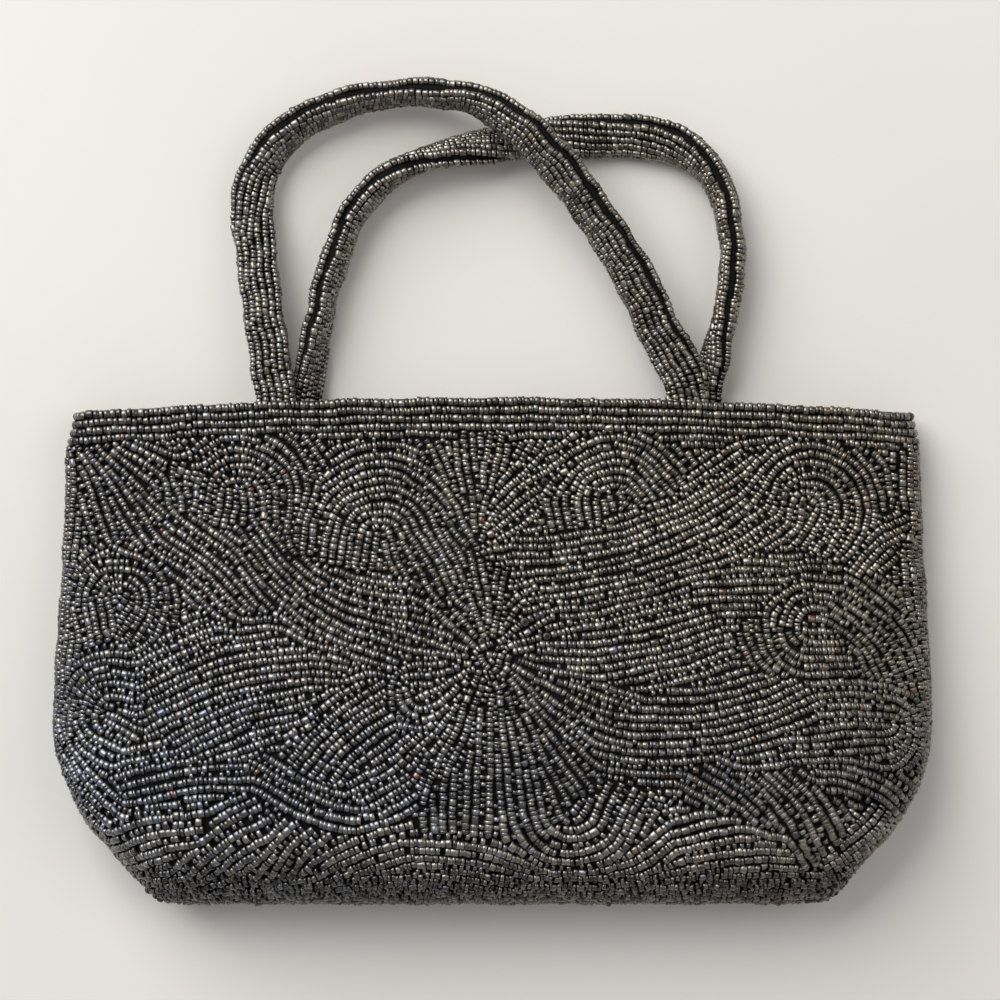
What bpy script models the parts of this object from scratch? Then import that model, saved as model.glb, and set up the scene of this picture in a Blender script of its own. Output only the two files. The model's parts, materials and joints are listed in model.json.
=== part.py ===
"""A beaded evening handbag lying on its back: a soft boxed bag with two crossed tube handles.

+X is the bag's right as it lies, +Y runs from the base to the mouth and the handles, and +Z is up,
out of the front panel. Every wall is nested layers round one inner form, the core: lining,
interlining and beaded cloth. Each ring of the core is two half superellipses that meet at the sides.
"""

import math

import bmesh
import bpy
import numpy as np
from mathutils import Matrix, Vector

mm = 0.001

# Layers of the wall, from the inside out, and the gap kept between pieces.
CLEARANCE = 0.3 * mm
LINING = 0.6 * mm
INTERLINING = 1.2 * mm
BEADED_CLOTH = 2.2 * mm

# Overall sizes of the bag, over the beads.
WIDEST = 239.6 * mm
BODY_LENGTH = 137.2 * mm
BODY_DEPTH = 38.0 * mm
MOUTH_GAP = 5.6 * mm
# How far the base bulges past the panels' folds.
BASE_REACH = 24.6 * mm
# The mouth's corners sag this far below its middle.
MOUTH_SAG = 4.2 * mm

# Handles: a flattened tube of beaded cloth round a soft cord.
HANDLE_DROP = 87.6 * mm
HANDLE_SPREAD = 112.4 * mm
STRAP_WIDTH = 12.2 * mm
STRAP_THICKNESS = 7.0 * mm
STRAP_CLOTH = 1.9 * mm
PIVOT_RISE = 0.5 * mm
TAB_WIDTH = 8.0 * mm
TAB_LENGTH = 15.0 * mm
TAB_THICKNESS = INTERLINING

# The band of facing inside the mouth, and the slip pocket.
FACING_SETBACK = 1.0 * mm
FACING_DEPTH = 15.0 * mm
POCKET_WIDTH = 92.0 * mm
POCKET_LENGTH = 58.0 * mm
POCKET_FROM_MOUTH = 30.0 * mm
POCKET_CLOTH = 0.5 * mm

# Magnetic snap.
SNAP_RADIUS = 7.0 * mm
SNAP_FROM_MOUTH = 9.0 * mm
STUD_PLATE = 1.6 * mm
SOCKET_HEIGHT = 2.9 * mm
PEG_RADIUS = 2.2 * mm
PEG_LENGTH = 2.0 * mm
PEG_CLEARANCE = 0.8 * mm
SNAP_EDGE = 0.5 * mm
WASHER_RADIUS = 6.0 * mm
WASHER = 0.5 * mm
PRONG_WIDTH = 3.0 * mm
PRONG = 0.5 * mm
PRONG_SPACING = 8.0 * mm
CUT_OVERRUN = 1.0 * mm

# The stiffener board in the base starts this far in from the base's folds.
BOARD_INSET = 6.0 * mm
BOARD = 1.0 * mm

WALL = LINING + CLEARANCE + INTERLINING + CLEARANCE + BEADED_CLOTH
CORE_LENGTH = BODY_LENGTH - WALL
CORE_HALF_WIDTH = WIDEST / 2 - WALL
CORE_DEPTH = BODY_DEPTH - 2 * WALL
MOUTH_THICKNESS = MOUTH_GAP + 2 * WALL
PANEL_LENGTH = CORE_LENGTH - BASE_REACH
BOARD_TURN = math.acos(1 - BOARD_INSET / (BODY_DEPTH / 2))

# Height above the core of each layer's inner and outer face.
LINING_LAYER = (0, LINING)
INTERLINING_LAYER = (LINING + CLEARANCE, LINING + CLEARANCE + INTERLINING)
BEADED_LAYER = (WALL - BEADED_CLOTH, WALL)

# Outline of the core as shares: (length from the mouth, value).
WIDTH_shares = [
    (0, 0.958),
    (0.06, 0.972),
    (0.13, 0.977),
    (0.23, 0.980),
    (0.34, 0.985),
    (0.47, 0.993),
    (0.60, 1),
    (0.71, 0.993),
    (0.757, 0.979),
    (0.80, 0.958),
    (0.857, 0.913),
    (0.90, 0.868),
    (0.944, 0.826),
    (0.975, 0.801),
    (1, 0.775),
]
RISE_shares = [(0, 0), (0.147, 0.01), (0.377, 0.42), (0.603, 0.80), (0.754, 0.965), (0.815, 1), (1, 1)]
SIDE_HEIGHT_shares = [(0, 0), (0.377, 0.05), (0.739, 0.22), (0.815, 0.31), (1, 0.18)]
FRONT_POWER_shares = [(0, 5), (0.377, 3), (0.686, 2.6), (0.815, 3), (1, 4)]
BACK_POWER = 6
FRONT_FOLD_POWER = 0.82
BACK_FOLD_POWER = 0.35

# Where the front, side and back panels meet, as the direction that the outer surface faces.
FRONT_SEAM_ANGLE = math.radians(42)
BACK_SEAM_ANGLE = math.radians(-50)

# Route of each handle from its left foot to its right one, as shares: (across, along, height, tilt,
# width, thickness). Across is a share of the handles' spread, along of their drop, height of the
# mouth's thickness and tilt of a right angle, which stands the strap on its edge.
FRONT_ROUTE_shares = [
    (-0.525, 0, 0.760, 0, 1, 0.83),
    (-0.554, 0.24, 0.70, 0, 1, 0.90),
    (-0.580, 0.49, 0.53, 0, 1, 1),
    (-0.588, 0.643, 0.46, 0.18, 1, 1),
    (-0.556, 0.758, 0.45, 0.43, 1, 1),
    (-0.494, 0.850, 0.47, 0.63, 1, 1),
    (-0.388, 0.920, 0.48, 0.72, 1, 1),
    (-0.264, 0.960, 0.53, 0.88, 1, 1),
    (-0.128, 0.960, 0.66, 0.90, 1, 1),
    (-0.019, 0.919, 0.95, 0.74, 1, 1),
    (0.077, 0.835, 1.17, 0.50, 1, 1),
    (0.167, 0.714, 1.06, 0.40, 1, 1),
    (0.250, 0.571, 0.93, 0.42, 1, 1),
    (0.339, 0.391, 0.83, 0.29, 1, 1),
    (0.405, 0.215, 0.78, 0.25, 1, 0.95),
    (0.457, 0.093, 0.760, 0.08, 1, 0.88),
    (0.474, 0, 0.760, 0, 1, 0.83),
]
BACK_ROUTE_shares = [
    (-0.460, 0, 0.268, 0.36, 0.84, 0.83),
    (-0.437, 0.177, 0.42, 0.70, 0.95, 0.95),
    (-0.416, 0.317, 0.45, 0.83, 1, 1),
    (-0.387, 0.441, 0.45, 0.87, 1, 1),
    (-0.347, 0.571, 0.45, 0.82, 1, 1),
    (-0.288, 0.671, 0.45, 0.84, 1, 1),
    (-0.206, 0.739, 0.45, 1.03, 1, 1),
    (-0.103, 0.781, 0.44, 1.32, 1, 1),
    (0.017, 0.810, 0.37, 1.62, 1, 1),
    (0.138, 0.829, 0.30, 1.90, 1, 1),
    (0.259, 0.836, 0.30, 2.17, 1, 1),
    (0.370, 0.829, 0.32, 2.30, 1, 1),
    (0.471, 0.790, 0.39, 2.54, 1, 1),
    (0.538, 0.704, 0.44, 2.80, 1, 1),
    (0.572, 0.585, 0.45, 2.92, 1, 1),
    (0.584, 0.447, 0.45, 3.00, 1, 1),
    (0.571, 0.301, 0.45, 3.00, 1, 1),
    (0.547, 0.161, 0.42, 2.78, 0.95, 0.95),
    (0.514, 0, 0.268, 2.38, 0.84, 0.83),
]
STRAP_POWER = 2.4

# Facets.
PANEL_RINGS = 11
PANEL_COLUMNS = 20
SIDE_COLUMNS = 6
BASE_RINGS = 9
BASE_COLUMNS = 38
STRAP_RINGS = 34
STRAP_SIDES = 10
CORE_SIDES = 8
ROUND_SIDES = 32
SECTION_SAMPLES = 1500

SMOOTH_BELOW = math.radians(40)
# Points nearer than this are one point.
WELD = 0.001 * mm
# Step over which the core's slope is measured, as a share of its length, and the share of the
# base's reach in which its rings come to lean fully.
SLOPE_STEP_share = 0.0005
LEAN_share = 0.4


def smooth_curve(rows, where):
    """Values of a table's second and later columns at each place in where, on a curve through its rows."""
    rows = np.asarray(rows, float)
    places, values = rows[:, 0], rows[:, 1:]
    slopes = np.gradient(values, places, axis=0)
    where = np.clip(np.atleast_1d(where), places[0], places[-1])
    after = np.clip(np.searchsorted(places, where, side="right"), 1, len(places) - 1)
    before = after - 1
    span = (places[after] - places[before])[:, None]
    t = (where[:, None] - places[before][:, None]) / span
    rise = 3 * t**2 - 2 * t**3
    start = t * (1 - t) ** 2 * span * slopes[before]
    end = t**2 * (t - 1) * span * slopes[after]
    return values[before] * (1 - rise) + values[after] * rise + start + end


def share_at(rows, where):
    return float(smooth_curve(rows, where)[0, 0])


def ring_sizes(length):
    """Sizes of the core's ring at this length from the mouth, which narrows to a line over the base."""
    share = length / CORE_LENGTH
    taper = CORE_DEPTH - MOUTH_GAP
    side_height = WALL + MOUTH_GAP / 2 + taper * share_at(SIDE_HEIGHT_shares, share)
    front = WALL + MOUTH_GAP + taper * share_at(RISE_shares, share) - side_height
    back = side_height - WALL
    narrowing = 1
    if length > PANEL_LENGTH:
        left = max(0, CORE_LENGTH - length) / BASE_REACH
        narrowing = math.sqrt(left * (2 - left))
    return {
        "half_width": CORE_HALF_WIDTH * share_at(WIDTH_shares, share),
        "side_height": side_height,
        "front": front * narrowing**FRONT_FOLD_POWER,
        "back": back * narrowing**BACK_FOLD_POWER,
        "front_power": share_at(FRONT_POWER_shares, share),
    }


def half_ring(half_width, height, power):
    """Points (x, z) of a half superellipse from one side to the other, and the way each faces."""
    k = np.linspace(0, 1, SECTION_SAMPLES)
    quarter = k ** (power / 2) / (k ** (power / 2) + (1 - k) ** (power / 2)) * math.pi / 2
    across, up = np.cos(quarter), np.sin(quarter)
    across[-1] = 0
    x = half_width * across ** (2 / power)
    z = height * up ** (2 / power)
    facing = np.arctan2(half_width * up ** (2 - 2 / power), height * across ** (2 - 2 / power))
    facing[0] = 0
    x = np.concatenate([x, -x[-2::-1]])
    z = np.concatenate([z, z[-2::-1]])
    facing = np.concatenate([facing, math.pi - facing[-2::-1]])
    return x, z, facing


def support(sizes, facing):
    """How far the ring reaches in each direction that it faces, from the middle of the floor."""
    height = np.where(np.sin(facing) >= 0, sizes["front"], sizes["back"])
    power = np.where(np.sin(facing) >= 0, sizes["front_power"], BACK_POWER)
    dual = power / (power - 1)
    across = np.abs(sizes["half_width"] * np.cos(facing)) ** dual
    up = np.abs(height * np.sin(facing)) ** dual
    return (across + up) ** (1 / dual) + sizes["side_height"] * np.sin(facing)


def core_ring(length, facing_from, facing_to, columns):
    """Points of one ring of the core between two facing directions, and their normals in space.

    The points are spread evenly over the outside of the wall, so that its tight sides stay round.
    """
    sizes = ring_sizes(length)
    front = half_ring(sizes["half_width"], sizes["front"], sizes["front_power"])
    back = half_ring(sizes["half_width"], sizes["back"], BACK_POWER)
    x = np.concatenate([front[0], -back[0][1:]])
    z = sizes["side_height"] + np.concatenate([front[1], -back[1][1:]])
    facing = np.concatenate([front[2], math.pi + back[2][1:]])
    turn = 2 * math.pi
    x = np.concatenate([x[:-1], x[:-1], x])
    z = np.concatenate([z[:-1], z[:-1], z])
    facing = np.concatenate([facing[:-1] - turn, facing[:-1], facing + turn])
    steps = np.hypot(np.diff(x), np.diff(z)) + WALL * np.diff(facing)
    reach = np.concatenate([[0], np.cumsum(steps)])
    start, end = np.interp([facing_from, facing_to], facing, reach)
    at = np.linspace(start, end, columns + 1)
    x, z, facing = (np.interp(at, reach, values) for values in (x, z, facing))
    step = SLOPE_STEP_share * CORE_LENGTH
    low, high = max(0, length - step), min(CORE_LENGTH, length + step)
    growth = (support(ring_sizes(high), facing) - support(ring_sizes(low), facing)) / (high - low)
    # The panels' rings stay flat, so that their ends are cut square, and the base's lean in by steps.
    lean = min(1, max(0, length - PANEL_LENGTH) / (LEAN_share * BASE_REACH))
    normals = np.stack([np.cos(facing), lean * growth, np.sin(facing)], axis=1)
    normals /= np.linalg.norm(normals, axis=1)[:, None]
    if length >= CORE_LENGTH:
        normals[:] = (0, -1, 0)
    points = np.stack([x, np.full_like(x, MOUTH_Y - length), z], axis=1)
    return points, normals


def sag(x, length=0):
    """How far the mouth hangs below its middle here, fading out down the panels."""
    return MOUTH_SAG * (x / CORE_HALF_WIDTH) ** 2 * max(0, 1 - length / PANEL_LENGTH)


def layer_rings(lengths, facings, columns, layer):
    """Rings of points on a layer's outer face and on its inner one, each half a gap short of its seams."""
    outer, inner = [], []
    for length in lengths:
        points, normals = core_ring(length, facings[0], facings[1], columns)
        shifts = np.zeros_like(points)
        if facings[1] - facings[0] < 2 * math.pi:
            for end, facing, sign in ((0, facings[0], 1), (-1, facings[1], -1)):
                along = np.array((-math.sin(facing), 0, math.cos(facing)))
                shifts[end] = sign * CLEARANCE / 2 * along
        else:
            points, normals, shifts = points[:-1], normals[:-1], shifts[:-1]
        for rings, height in ((inner, layer[0]), (outer, layer[1])):
            ring = points + height * normals + shifts
            ring[:, 1] -= sag(ring[:, 0], length)
            rings.append(ring)
    return outer, inner


def new_object(name, mesh, material, pivot):
    """Adds the mesh, whose points are in world space, under the pivot that it turns on."""
    mesh.transform(Matrix.Translation(-world_place(pivot)))
    obj = bpy.data.objects.new(name, mesh)
    obj.parent = pivot
    mesh.materials.append(material)
    mesh.shade_smooth()
    mesh.set_sharp_from_angle(angle=SMOOTH_BELOW)
    PARTS.objects.link(obj)
    return obj


def skin(name, rings, closed=False, capped=False):
    """A mesh through rings of points, each ring open or closed, with or without its two ends."""
    mesh = bpy.data.meshes.new(name)
    work = bmesh.new()
    rows = [[work.verts.new(point) for point in ring] for ring in rings]
    count = len(rings[0])
    for row, following in zip(rows, rows[1:]):
        for i in range(count if closed else count - 1):
            j = (i + 1) % count
            work.faces.new((row[i], row[j], following[j], following[i]))
    if capped:
        work.faces.new(rows[0][::-1])
        work.faces.new(rows[-1])
    finish_mesh(work, mesh)
    return mesh


def shell(name, outer, inner, closed=False, ends=True):
    """A solid between two sets of rings, open rings or closed, with or without a rim at their far end."""
    mesh = bpy.data.meshes.new(name)
    work = bmesh.new()
    outer = [[work.verts.new(point) for point in ring] for ring in outer]
    inner = [[work.verts.new(point) for point in ring] for ring in inner]
    count = len(outer[0])
    strips = [(i, (i + 1) % count) for i in range(count if closed else count - 1)]
    for i, j in strips:
        for k in range(len(outer) - 1):
            # Triangles with the same diagonal in every layer keep nested layers clear of each other.
            for face in (outer, inner):
                work.faces.new((face[k][i], face[k][j], face[k + 1][j]))
                work.faces.new((face[k][i], face[k + 1][j], face[k + 1][i]))
        work.faces.new((inner[0][i], inner[0][j], outer[0][j], outer[0][i]))
        if ends:
            work.faces.new((outer[-1][i], outer[-1][j], inner[-1][j], inner[-1][i]))
    if not closed:
        for k in range(len(outer) - 1):
            work.faces.new((outer[k][0], outer[k + 1][0], inner[k + 1][0], inner[k][0]))
            work.faces.new((inner[k][-1], inner[k + 1][-1], outer[k + 1][-1], outer[k][-1]))
    finish_mesh(work, mesh)
    return mesh


def finish_mesh(work, mesh):
    bmesh.ops.remove_doubles(work, verts=work.verts, dist=WELD)
    bmesh.ops.recalc_face_normals(work, faces=work.faces)
    work.to_mesh(mesh)
    work.free()


def wall_piece(name, layer, lengths, facings, columns, material, pivot):
    """One piece of cloth in a layer of the wall, between two lengths and two seams."""
    outer, inner = layer_rings(lengths, facings, columns, layer)
    return new_object(name, shell(name, outer, inner), material, pivot)


def base_piece(name, layer, turn_from, material, pivot):
    """A layer over the base, from a ring near its folds to the line where it closes.

    All the layers share the same rings, so that their facets stay parallel.
    """
    turns = np.linspace(0, math.pi / 2, BASE_RINGS + 1)
    lengths = CORE_LENGTH - BASE_REACH * (1 - np.sin(turns))
    lengths[0] += CLEARANCE / 2
    lengths = lengths[turns >= turn_from]
    outer, inner = layer_rings(lengths, (0, 2 * math.pi), BASE_COLUMNS, layer)
    new_object(name, shell(name, outer, inner, closed=True, ends=False), material, pivot)


def strap_frames(route, foot_y):
    """Centre, width direction, face direction, width and thickness along a handle's route."""
    rows = np.asarray(route, float)
    stations = np.linspace(0, 1, len(rows))
    at = np.linspace(0, 1, STRAP_RINGS + 1)
    values = smooth_curve(np.column_stack([stations, rows]), at)
    scale = (HANDLE_SPREAD, HANDLE_DROP, MOUTH_THICKNESS)
    centres = values[:, :3] * scale
    centres[:, 1] += foot_y
    ahead = np.gradient(centres, axis=0)
    ahead[[0, -1], 0] = 0
    ahead[[0, -1], 2] = 0
    ahead /= np.linalg.norm(ahead, axis=1)[:, None]
    outward = np.cross((0, 0, 1), ahead)
    outward /= np.linalg.norm(outward, axis=1)[:, None]
    up = np.cross(ahead, outward)
    tilt = (values[:, 3] * math.pi / 2)[:, None]
    across = np.cos(tilt) * outward + np.sin(tilt) * up
    face = np.cos(tilt) * up - np.sin(tilt) * outward
    return centres, across, face, values[:, 4] * STRAP_WIDTH, values[:, 5] * STRAP_THICKNESS


def strap_rings(route, foot_y, inset, sides):
    """Rings of a flattened tube along the route, this far inside the strap's outer surface."""
    centres, across, face, widths, thicknesses = strap_frames(route, foot_y)
    rings = []
    angles = np.linspace(0, 2 * math.pi, sides, endpoint=False)
    c, s = np.cos(angles), np.sin(angles)
    x = np.sign(c) * np.abs(c) ** (2 / STRAP_POWER)
    y = np.sign(s) * np.abs(s) ** (2 / STRAP_POWER)
    for centre, wide, thick, width, thickness in zip(centres, across, face, widths, thicknesses):
        half_width = width / 2 - inset
        half_thickness = thickness / 2 - inset
        rings.append(centre + half_width * np.outer(x, wide) + half_thickness * np.outer(y, thick))
    for ring in (rings[0], rings[-1]):
        ring[:, 1] = foot_y
    return rings


def handle(side, route, pivot, materials):
    """A beaded tube, open at both feet, and the soft cord inside it."""
    foot_y = FOOT_Y + CLEARANCE
    name = side + "_handle_cover"
    outer = strap_rings(route, foot_y, 0, STRAP_SIDES)
    inner = strap_rings(route, foot_y, STRAP_CLOTH, STRAP_SIDES)
    new_object(name, shell(name, outer, inner, closed=True), materials["beads"], pivot)
    name = side + "_handle_core"
    rings = strap_rings(route, foot_y, STRAP_CLOTH + CLEARANCE, CORE_SIDES)
    new_object(name, skin(name, rings, closed=True, capped=True), materials["cord"], pivot)


def handle_tabs(side, route, wall_middle, material, pivot):
    """The sewn-in end of each handle foot, between the beaded cloth and the facing."""
    for hand, row in (("left", route[0]), ("right", route[-1])):
        centre = (row[0] * HANDLE_SPREAD, FOOT_Y - TAB_LENGTH / 2, wall_middle)
        mesh = box_mesh(f"{side}_{hand}_handle_tab", centre, (TAB_WIDTH, TAB_LENGTH, TAB_THICKNESS))
        new_object(mesh.name, mesh, material, pivot)


def box_mesh(name, centre, size):
    mesh = bpy.data.meshes.new(name)
    work = bmesh.new()
    bmesh.ops.create_cube(work, size=1)
    bmesh.ops.scale(work, vec=size, verts=work.verts)
    bmesh.ops.translate(work, vec=centre, verts=work.verts)
    work.to_mesh(mesh)
    work.free()
    return mesh


def turned_mesh(name, profile):
    """A solid turned about Z from an outline of (radius, height) points that starts and ends on the axis."""
    outline = bpy.data.meshes.new(name + "_outline")
    points = [(radius, 0, height) for radius, height in profile]
    outline.from_pydata(points, [(i, i + 1) for i in range(len(points) - 1)], [])
    maker = bpy.data.objects.new(outline.name, outline)
    CUTTERS.objects.link(maker)
    screw = maker.modifiers.new("turned", "SCREW")
    screw.steps = ROUND_SIDES
    screw.render_steps = ROUND_SIDES
    screw.use_merge_vertices = True
    screw.merge_threshold = WELD
    graph = bpy.context.evaluated_depsgraph_get()
    mesh = bpy.data.meshes.new_from_object(maker.evaluated_get(graph))
    mesh.name = name
    bpy.data.objects.remove(maker)
    return mesh


def cutter(mesh):
    obj = bpy.data.objects.new(mesh.name, mesh)
    obj.hide_render = True
    obj.display_type = "WIRE"
    CUTTERS.objects.link(obj)
    return obj


def cut(obj, tool):
    modifier = obj.modifiers.new("cut by " + tool.name, "BOOLEAN")
    modifier.operation = "DIFFERENCE"
    modifier.object = tool


def join(obj, tool):
    modifier = obj.modifiers.new("joined to " + tool.name, "BOOLEAN")
    modifier.operation = "UNION"
    modifier.object = tool


def prong_meshes(name, low, high, room):
    """Two upright prongs of the snap, or the slots for them when room is more than nothing."""
    size = (PRONG + 2 * room, PRONG_WIDTH + 2 * room, high - low)
    for hand, x in (("left", -PRONG_SPACING / 2), ("right", PRONG_SPACING / 2)):
        yield box_mesh(f"{name}_{hand}", (x, SNAP_Y, (low + high) / 2), size)


def snap_half(name, profile, seat, prong_end, material, pivot):
    """A turned half of the snap with its two prongs, seated on the facing."""
    mesh = turned_mesh(name, profile)
    mesh.transform(Matrix.Translation((0, SNAP_Y, 0)))
    obj = new_object(name, mesh, material, pivot)
    into = math.copysign(PRONG, seat - prong_end)
    low, high = sorted((prong_end, seat + into))
    for prong in prong_meshes(name + "_prong", low, high, 0):
        join(obj, cutter(prong))
    return obj


def snap_washer(name, middle, material, pivot):
    """The backing plate behind the facing, with a slot for each prong."""
    low, high = middle - WASHER / 2, middle + WASHER / 2
    profile = [(0, high), (WASHER_RADIUS, high), (WASHER_RADIUS, low), (0, low)]
    mesh = turned_mesh(name, profile)
    mesh.transform(Matrix.Translation((0, SNAP_Y, 0)))
    obj = new_object(name, mesh, material, pivot)
    for slot in prong_meshes(name + "_slot", low - CUT_OVERRUN, high + CUT_OVERRUN, CLEARANCE):
        cut(obj, cutter(slot))


def make_snap(materials, front, back, front_facing, back_facing):
    """A closed magnetic snap at the middle of the mouth: socket on the back, stud on the front."""
    seat = WALL + CLEARANCE
    top = seat + SOCKET_HEIGHT
    bore = PEG_RADIUS + PEG_CLEARANCE
    floor = top - PEG_LENGTH - CLEARANCE
    outline = [
        (0, floor),
        (bore, floor),
        (bore, top),
        (SNAP_RADIUS - SNAP_EDGE, top),
        (SNAP_RADIUS, top - SNAP_EDGE),
        (SNAP_RADIUS, seat),
        (0, seat),
    ]
    low_washer = WALL - sum(INTERLINING_LAYER) / 2
    low_end = low_washer - WASHER / 2
    snap_half("snap_socket", outline, seat, low_end, materials["metal"], back)
    snap_washer("snap_socket_washer", low_washer, materials["metal"], back)

    seat = WALL + MOUTH_GAP - CLEARANCE
    plate = seat - STUD_PLATE
    tip = plate - PEG_LENGTH
    outline = [
        (0, seat),
        (SNAP_RADIUS, seat),
        (SNAP_RADIUS, plate + SNAP_EDGE),
        (SNAP_RADIUS - SNAP_EDGE, plate),
        (PEG_RADIUS, plate),
        (PEG_RADIUS, tip + SNAP_EDGE),
        (PEG_RADIUS - SNAP_EDGE, tip),
        (0, tip),
    ]
    high_washer = WALL + MOUTH_GAP + sum(INTERLINING_LAYER) / 2
    high_end = high_washer + WASHER / 2
    snap_half("snap_stud", outline, seat, high_end, materials["metal"], front)
    snap_washer("snap_stud_washer", high_washer, materials["metal"], front)

    for facing, name, low, high in (
        (back_facing, "socket_slot", low_washer, WALL + CUT_OVERRUN),
        (front_facing, "stud_slot", WALL + MOUTH_GAP - CUT_OVERRUN, high_washer),
    ):
        for slot in prong_meshes(name, low, high, CLEARANCE):
            cut(facing, cutter(slot))


def make_panels(materials, front, back):
    """Front, back and side panels in all their layers. It returns the two facings."""
    half = CLEARANCE / 2
    whole = np.linspace(0, PANEL_LENGTH - half, PANEL_RINGS + 1)
    facing_end = FACING_SETBACK + FACING_DEPTH
    facing_rows = [FACING_SETBACK, (FACING_SETBACK + facing_end) / 2, facing_end]
    below = np.linspace(facing_end + CLEARANCE, PANEL_LENGTH - half, PANEL_RINGS)
    across_front = (FRONT_SEAM_ANGLE, math.pi - FRONT_SEAM_ANGLE)
    across_back = (math.pi - BACK_SEAM_ANGLE, 2 * math.pi + BACK_SEAM_ANGLE)
    facings = {}
    for side, spread, pivot in (("front", across_front, front), ("back", across_back, back)):
        for part, layer, lengths, look in (
            ("panel", BEADED_LAYER, whole, "beads"),
            ("interlining", INTERLINING_LAYER, below, "padding"),
            ("lining", LINING_LAYER, below, "satin"),
            ("facing", LINING_LAYER, facing_rows, "ribbon"),
        ):
            name = f"{side}_{part}"
            columns = PANEL_COLUMNS
            facings[name] = wall_piece(name, layer, lengths, spread, columns, materials[look], pivot)
    right = (BACK_SEAM_ANGLE, FRONT_SEAM_ANGLE)
    left = (math.pi - FRONT_SEAM_ANGLE, math.pi - BACK_SEAM_ANGLE)
    for side, spread in (("left", left), ("right", right)):
        for part, layer, look in (
            ("side_panel", BEADED_LAYER, "beads"),
            ("side_lining", LINING_LAYER, "satin"),
        ):
            name = f"{side}_{part}"
            wall_piece(name, layer, whole, spread, SIDE_COLUMNS, materials[look], back)
    return facings["front_facing"], facings["back_facing"]


def make_base(materials, back):
    """The base panel turned up all round, the board that stiffens it, and its lining."""
    base_piece("base_panel", BEADED_LAYER, 0, materials["beads"], back)
    base_piece("base_lining", LINING_LAYER, 0, materials["satin"], back)
    board = (INTERLINING_LAYER[0], INTERLINING_LAYER[0] + BOARD)
    base_piece("base_board", board, BOARD_TURN, materials["card"], back)


def make_pocket(material, back):
    """A slip pocket on the back lining, open towards the mouth."""
    middle = POCKET_FROM_MOUTH + POCKET_LENGTH / 2
    centre = (0, MOUTH_Y - middle, WALL + CLEARANCE + POCKET_CLOTH / 2)
    mesh = box_mesh("slip_pocket", centre, (POCKET_WIDTH, POCKET_LENGTH, POCKET_CLOTH))
    new_object(mesh.name, mesh, material, back)


def material(name, color, roughness, metallic=0):
    made = bpy.data.materials.new(name)
    made.use_nodes = True
    shader = made.node_tree.nodes["Principled BSDF"]
    shader.inputs["Base Color"].default_value = (*color, 1)
    shader.inputs["Roughness"].default_value = roughness
    shader.inputs["Metallic"].default_value = metallic
    return made


def make_materials():
    return {
        "beads": material("gunmetal beads on black cloth", (0.075, 0.072, 0.070), 0.3, 0.85),
        "satin": material("black satin lining", (0.012, 0.012, 0.013), 0.35),
        "ribbon": material("black ribbon facing", (0.018, 0.018, 0.020), 0.6),
        "padding": material("interlining", (0.07, 0.07, 0.07), 0.9),
        "card": material("stiffener card", (0.32, 0.26, 0.19), 0.85),
        "cord": material("handle cord", (0.05, 0.05, 0.05), 0.9),
        "metal": material("nickel snap", (0.62, 0.62, 0.60), 0.25, 1),
    }


def new_collection(name):
    made = bpy.data.collections.new(name)
    bpy.context.scene.collection.children.link(made)
    return made


def pivot_at(name, place, parent=None):
    """An empty at this place in the world, carried by its parent."""
    made = bpy.data.objects.new(name, None)
    made.parent = parent
    made.location = Vector(place)
    if parent:
        made.location -= world_place(parent)
    PARTS.objects.link(made)
    return made


def world_place(pivot):
    if pivot.parent:
        return pivot.location + world_place(pivot.parent)
    return pivot.location


def clear_scene():
    for obj in list(bpy.data.objects):
        bpy.data.objects.remove(obj)


def handle_top():
    """How far the front handle reaches past its feet."""
    rings = strap_rings(FRONT_ROUTE_shares, CLEARANCE, 0, STRAP_SIDES)
    return max(ring[:, 1].max() for ring in rings)


# The origin is under the middle of the bag with its handles laid out.
FOOT_SAG = sag(HANDLE_SPREAD / 2)
MOUTH_Y = (BODY_LENGTH - handle_top() + FOOT_SAG) / 2
FOOT_Y = MOUTH_Y - FOOT_SAG
SNAP_Y = MOUTH_Y - SNAP_FROM_MOUTH

clear_scene()
PARTS = new_collection("beaded_handbag")
CUTTERS = new_collection("cutters")


def main():
    looks = make_materials()
    back = pivot_at("bag_origin", (0, 0, 0))
    front = pivot_at("mouth_fold", (0, MOUTH_Y - PANEL_LENGTH, BODY_DEPTH))
    front_foot = (0, FOOT_Y + CLEARANCE / 2, MOUTH_THICKNESS + PIVOT_RISE)
    back_foot = (0, FOOT_Y + CLEARANCE / 2, -PIVOT_RISE)
    front_handle_pivot = pivot_at("front_handle_pivot", front_foot, front)
    back_handle_pivot = pivot_at("back_handle_pivot", back_foot, back)
    front_facing, back_facing = make_panels(looks, front, back)
    make_base(looks, back)
    make_pocket(looks["satin"], back)
    make_snap(looks, front, back, front_facing, back_facing)
    handle("front", FRONT_ROUTE_shares, front_handle_pivot, looks)
    handle("back", BACK_ROUTE_shares, back_handle_pivot, looks)
    middle = sum(INTERLINING_LAYER) / 2
    front_middle = WALL + MOUTH_GAP + middle
    handle_tabs("front", FRONT_ROUTE_shares, front_middle, looks["ribbon"], front)
    handle_tabs("back", BACK_ROUTE_shares, WALL - middle, looks["ribbon"], back)
    for pivot in (front, front_handle_pivot, back_handle_pivot):
        print(pivot.name, [round(value, 6) for value in world_place(pivot)])
    print("mouth", round(MOUTH_Y, 6))


main()
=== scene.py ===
"""A beaded evening handbag on its back, dressed over its CAD frame.

Rows of small metallic beads cover black cloth on the bag and on its two tube handles. The rows follow
arcs, fans and leaves that were chosen over the photograph, in its pixels, and are laid on the
bag's outside in three dimensions. Lengths are in metres, and the bag lies as in part.py: +Y is towards
the handles.
"""

import json
import math
from collections import deque

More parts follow.
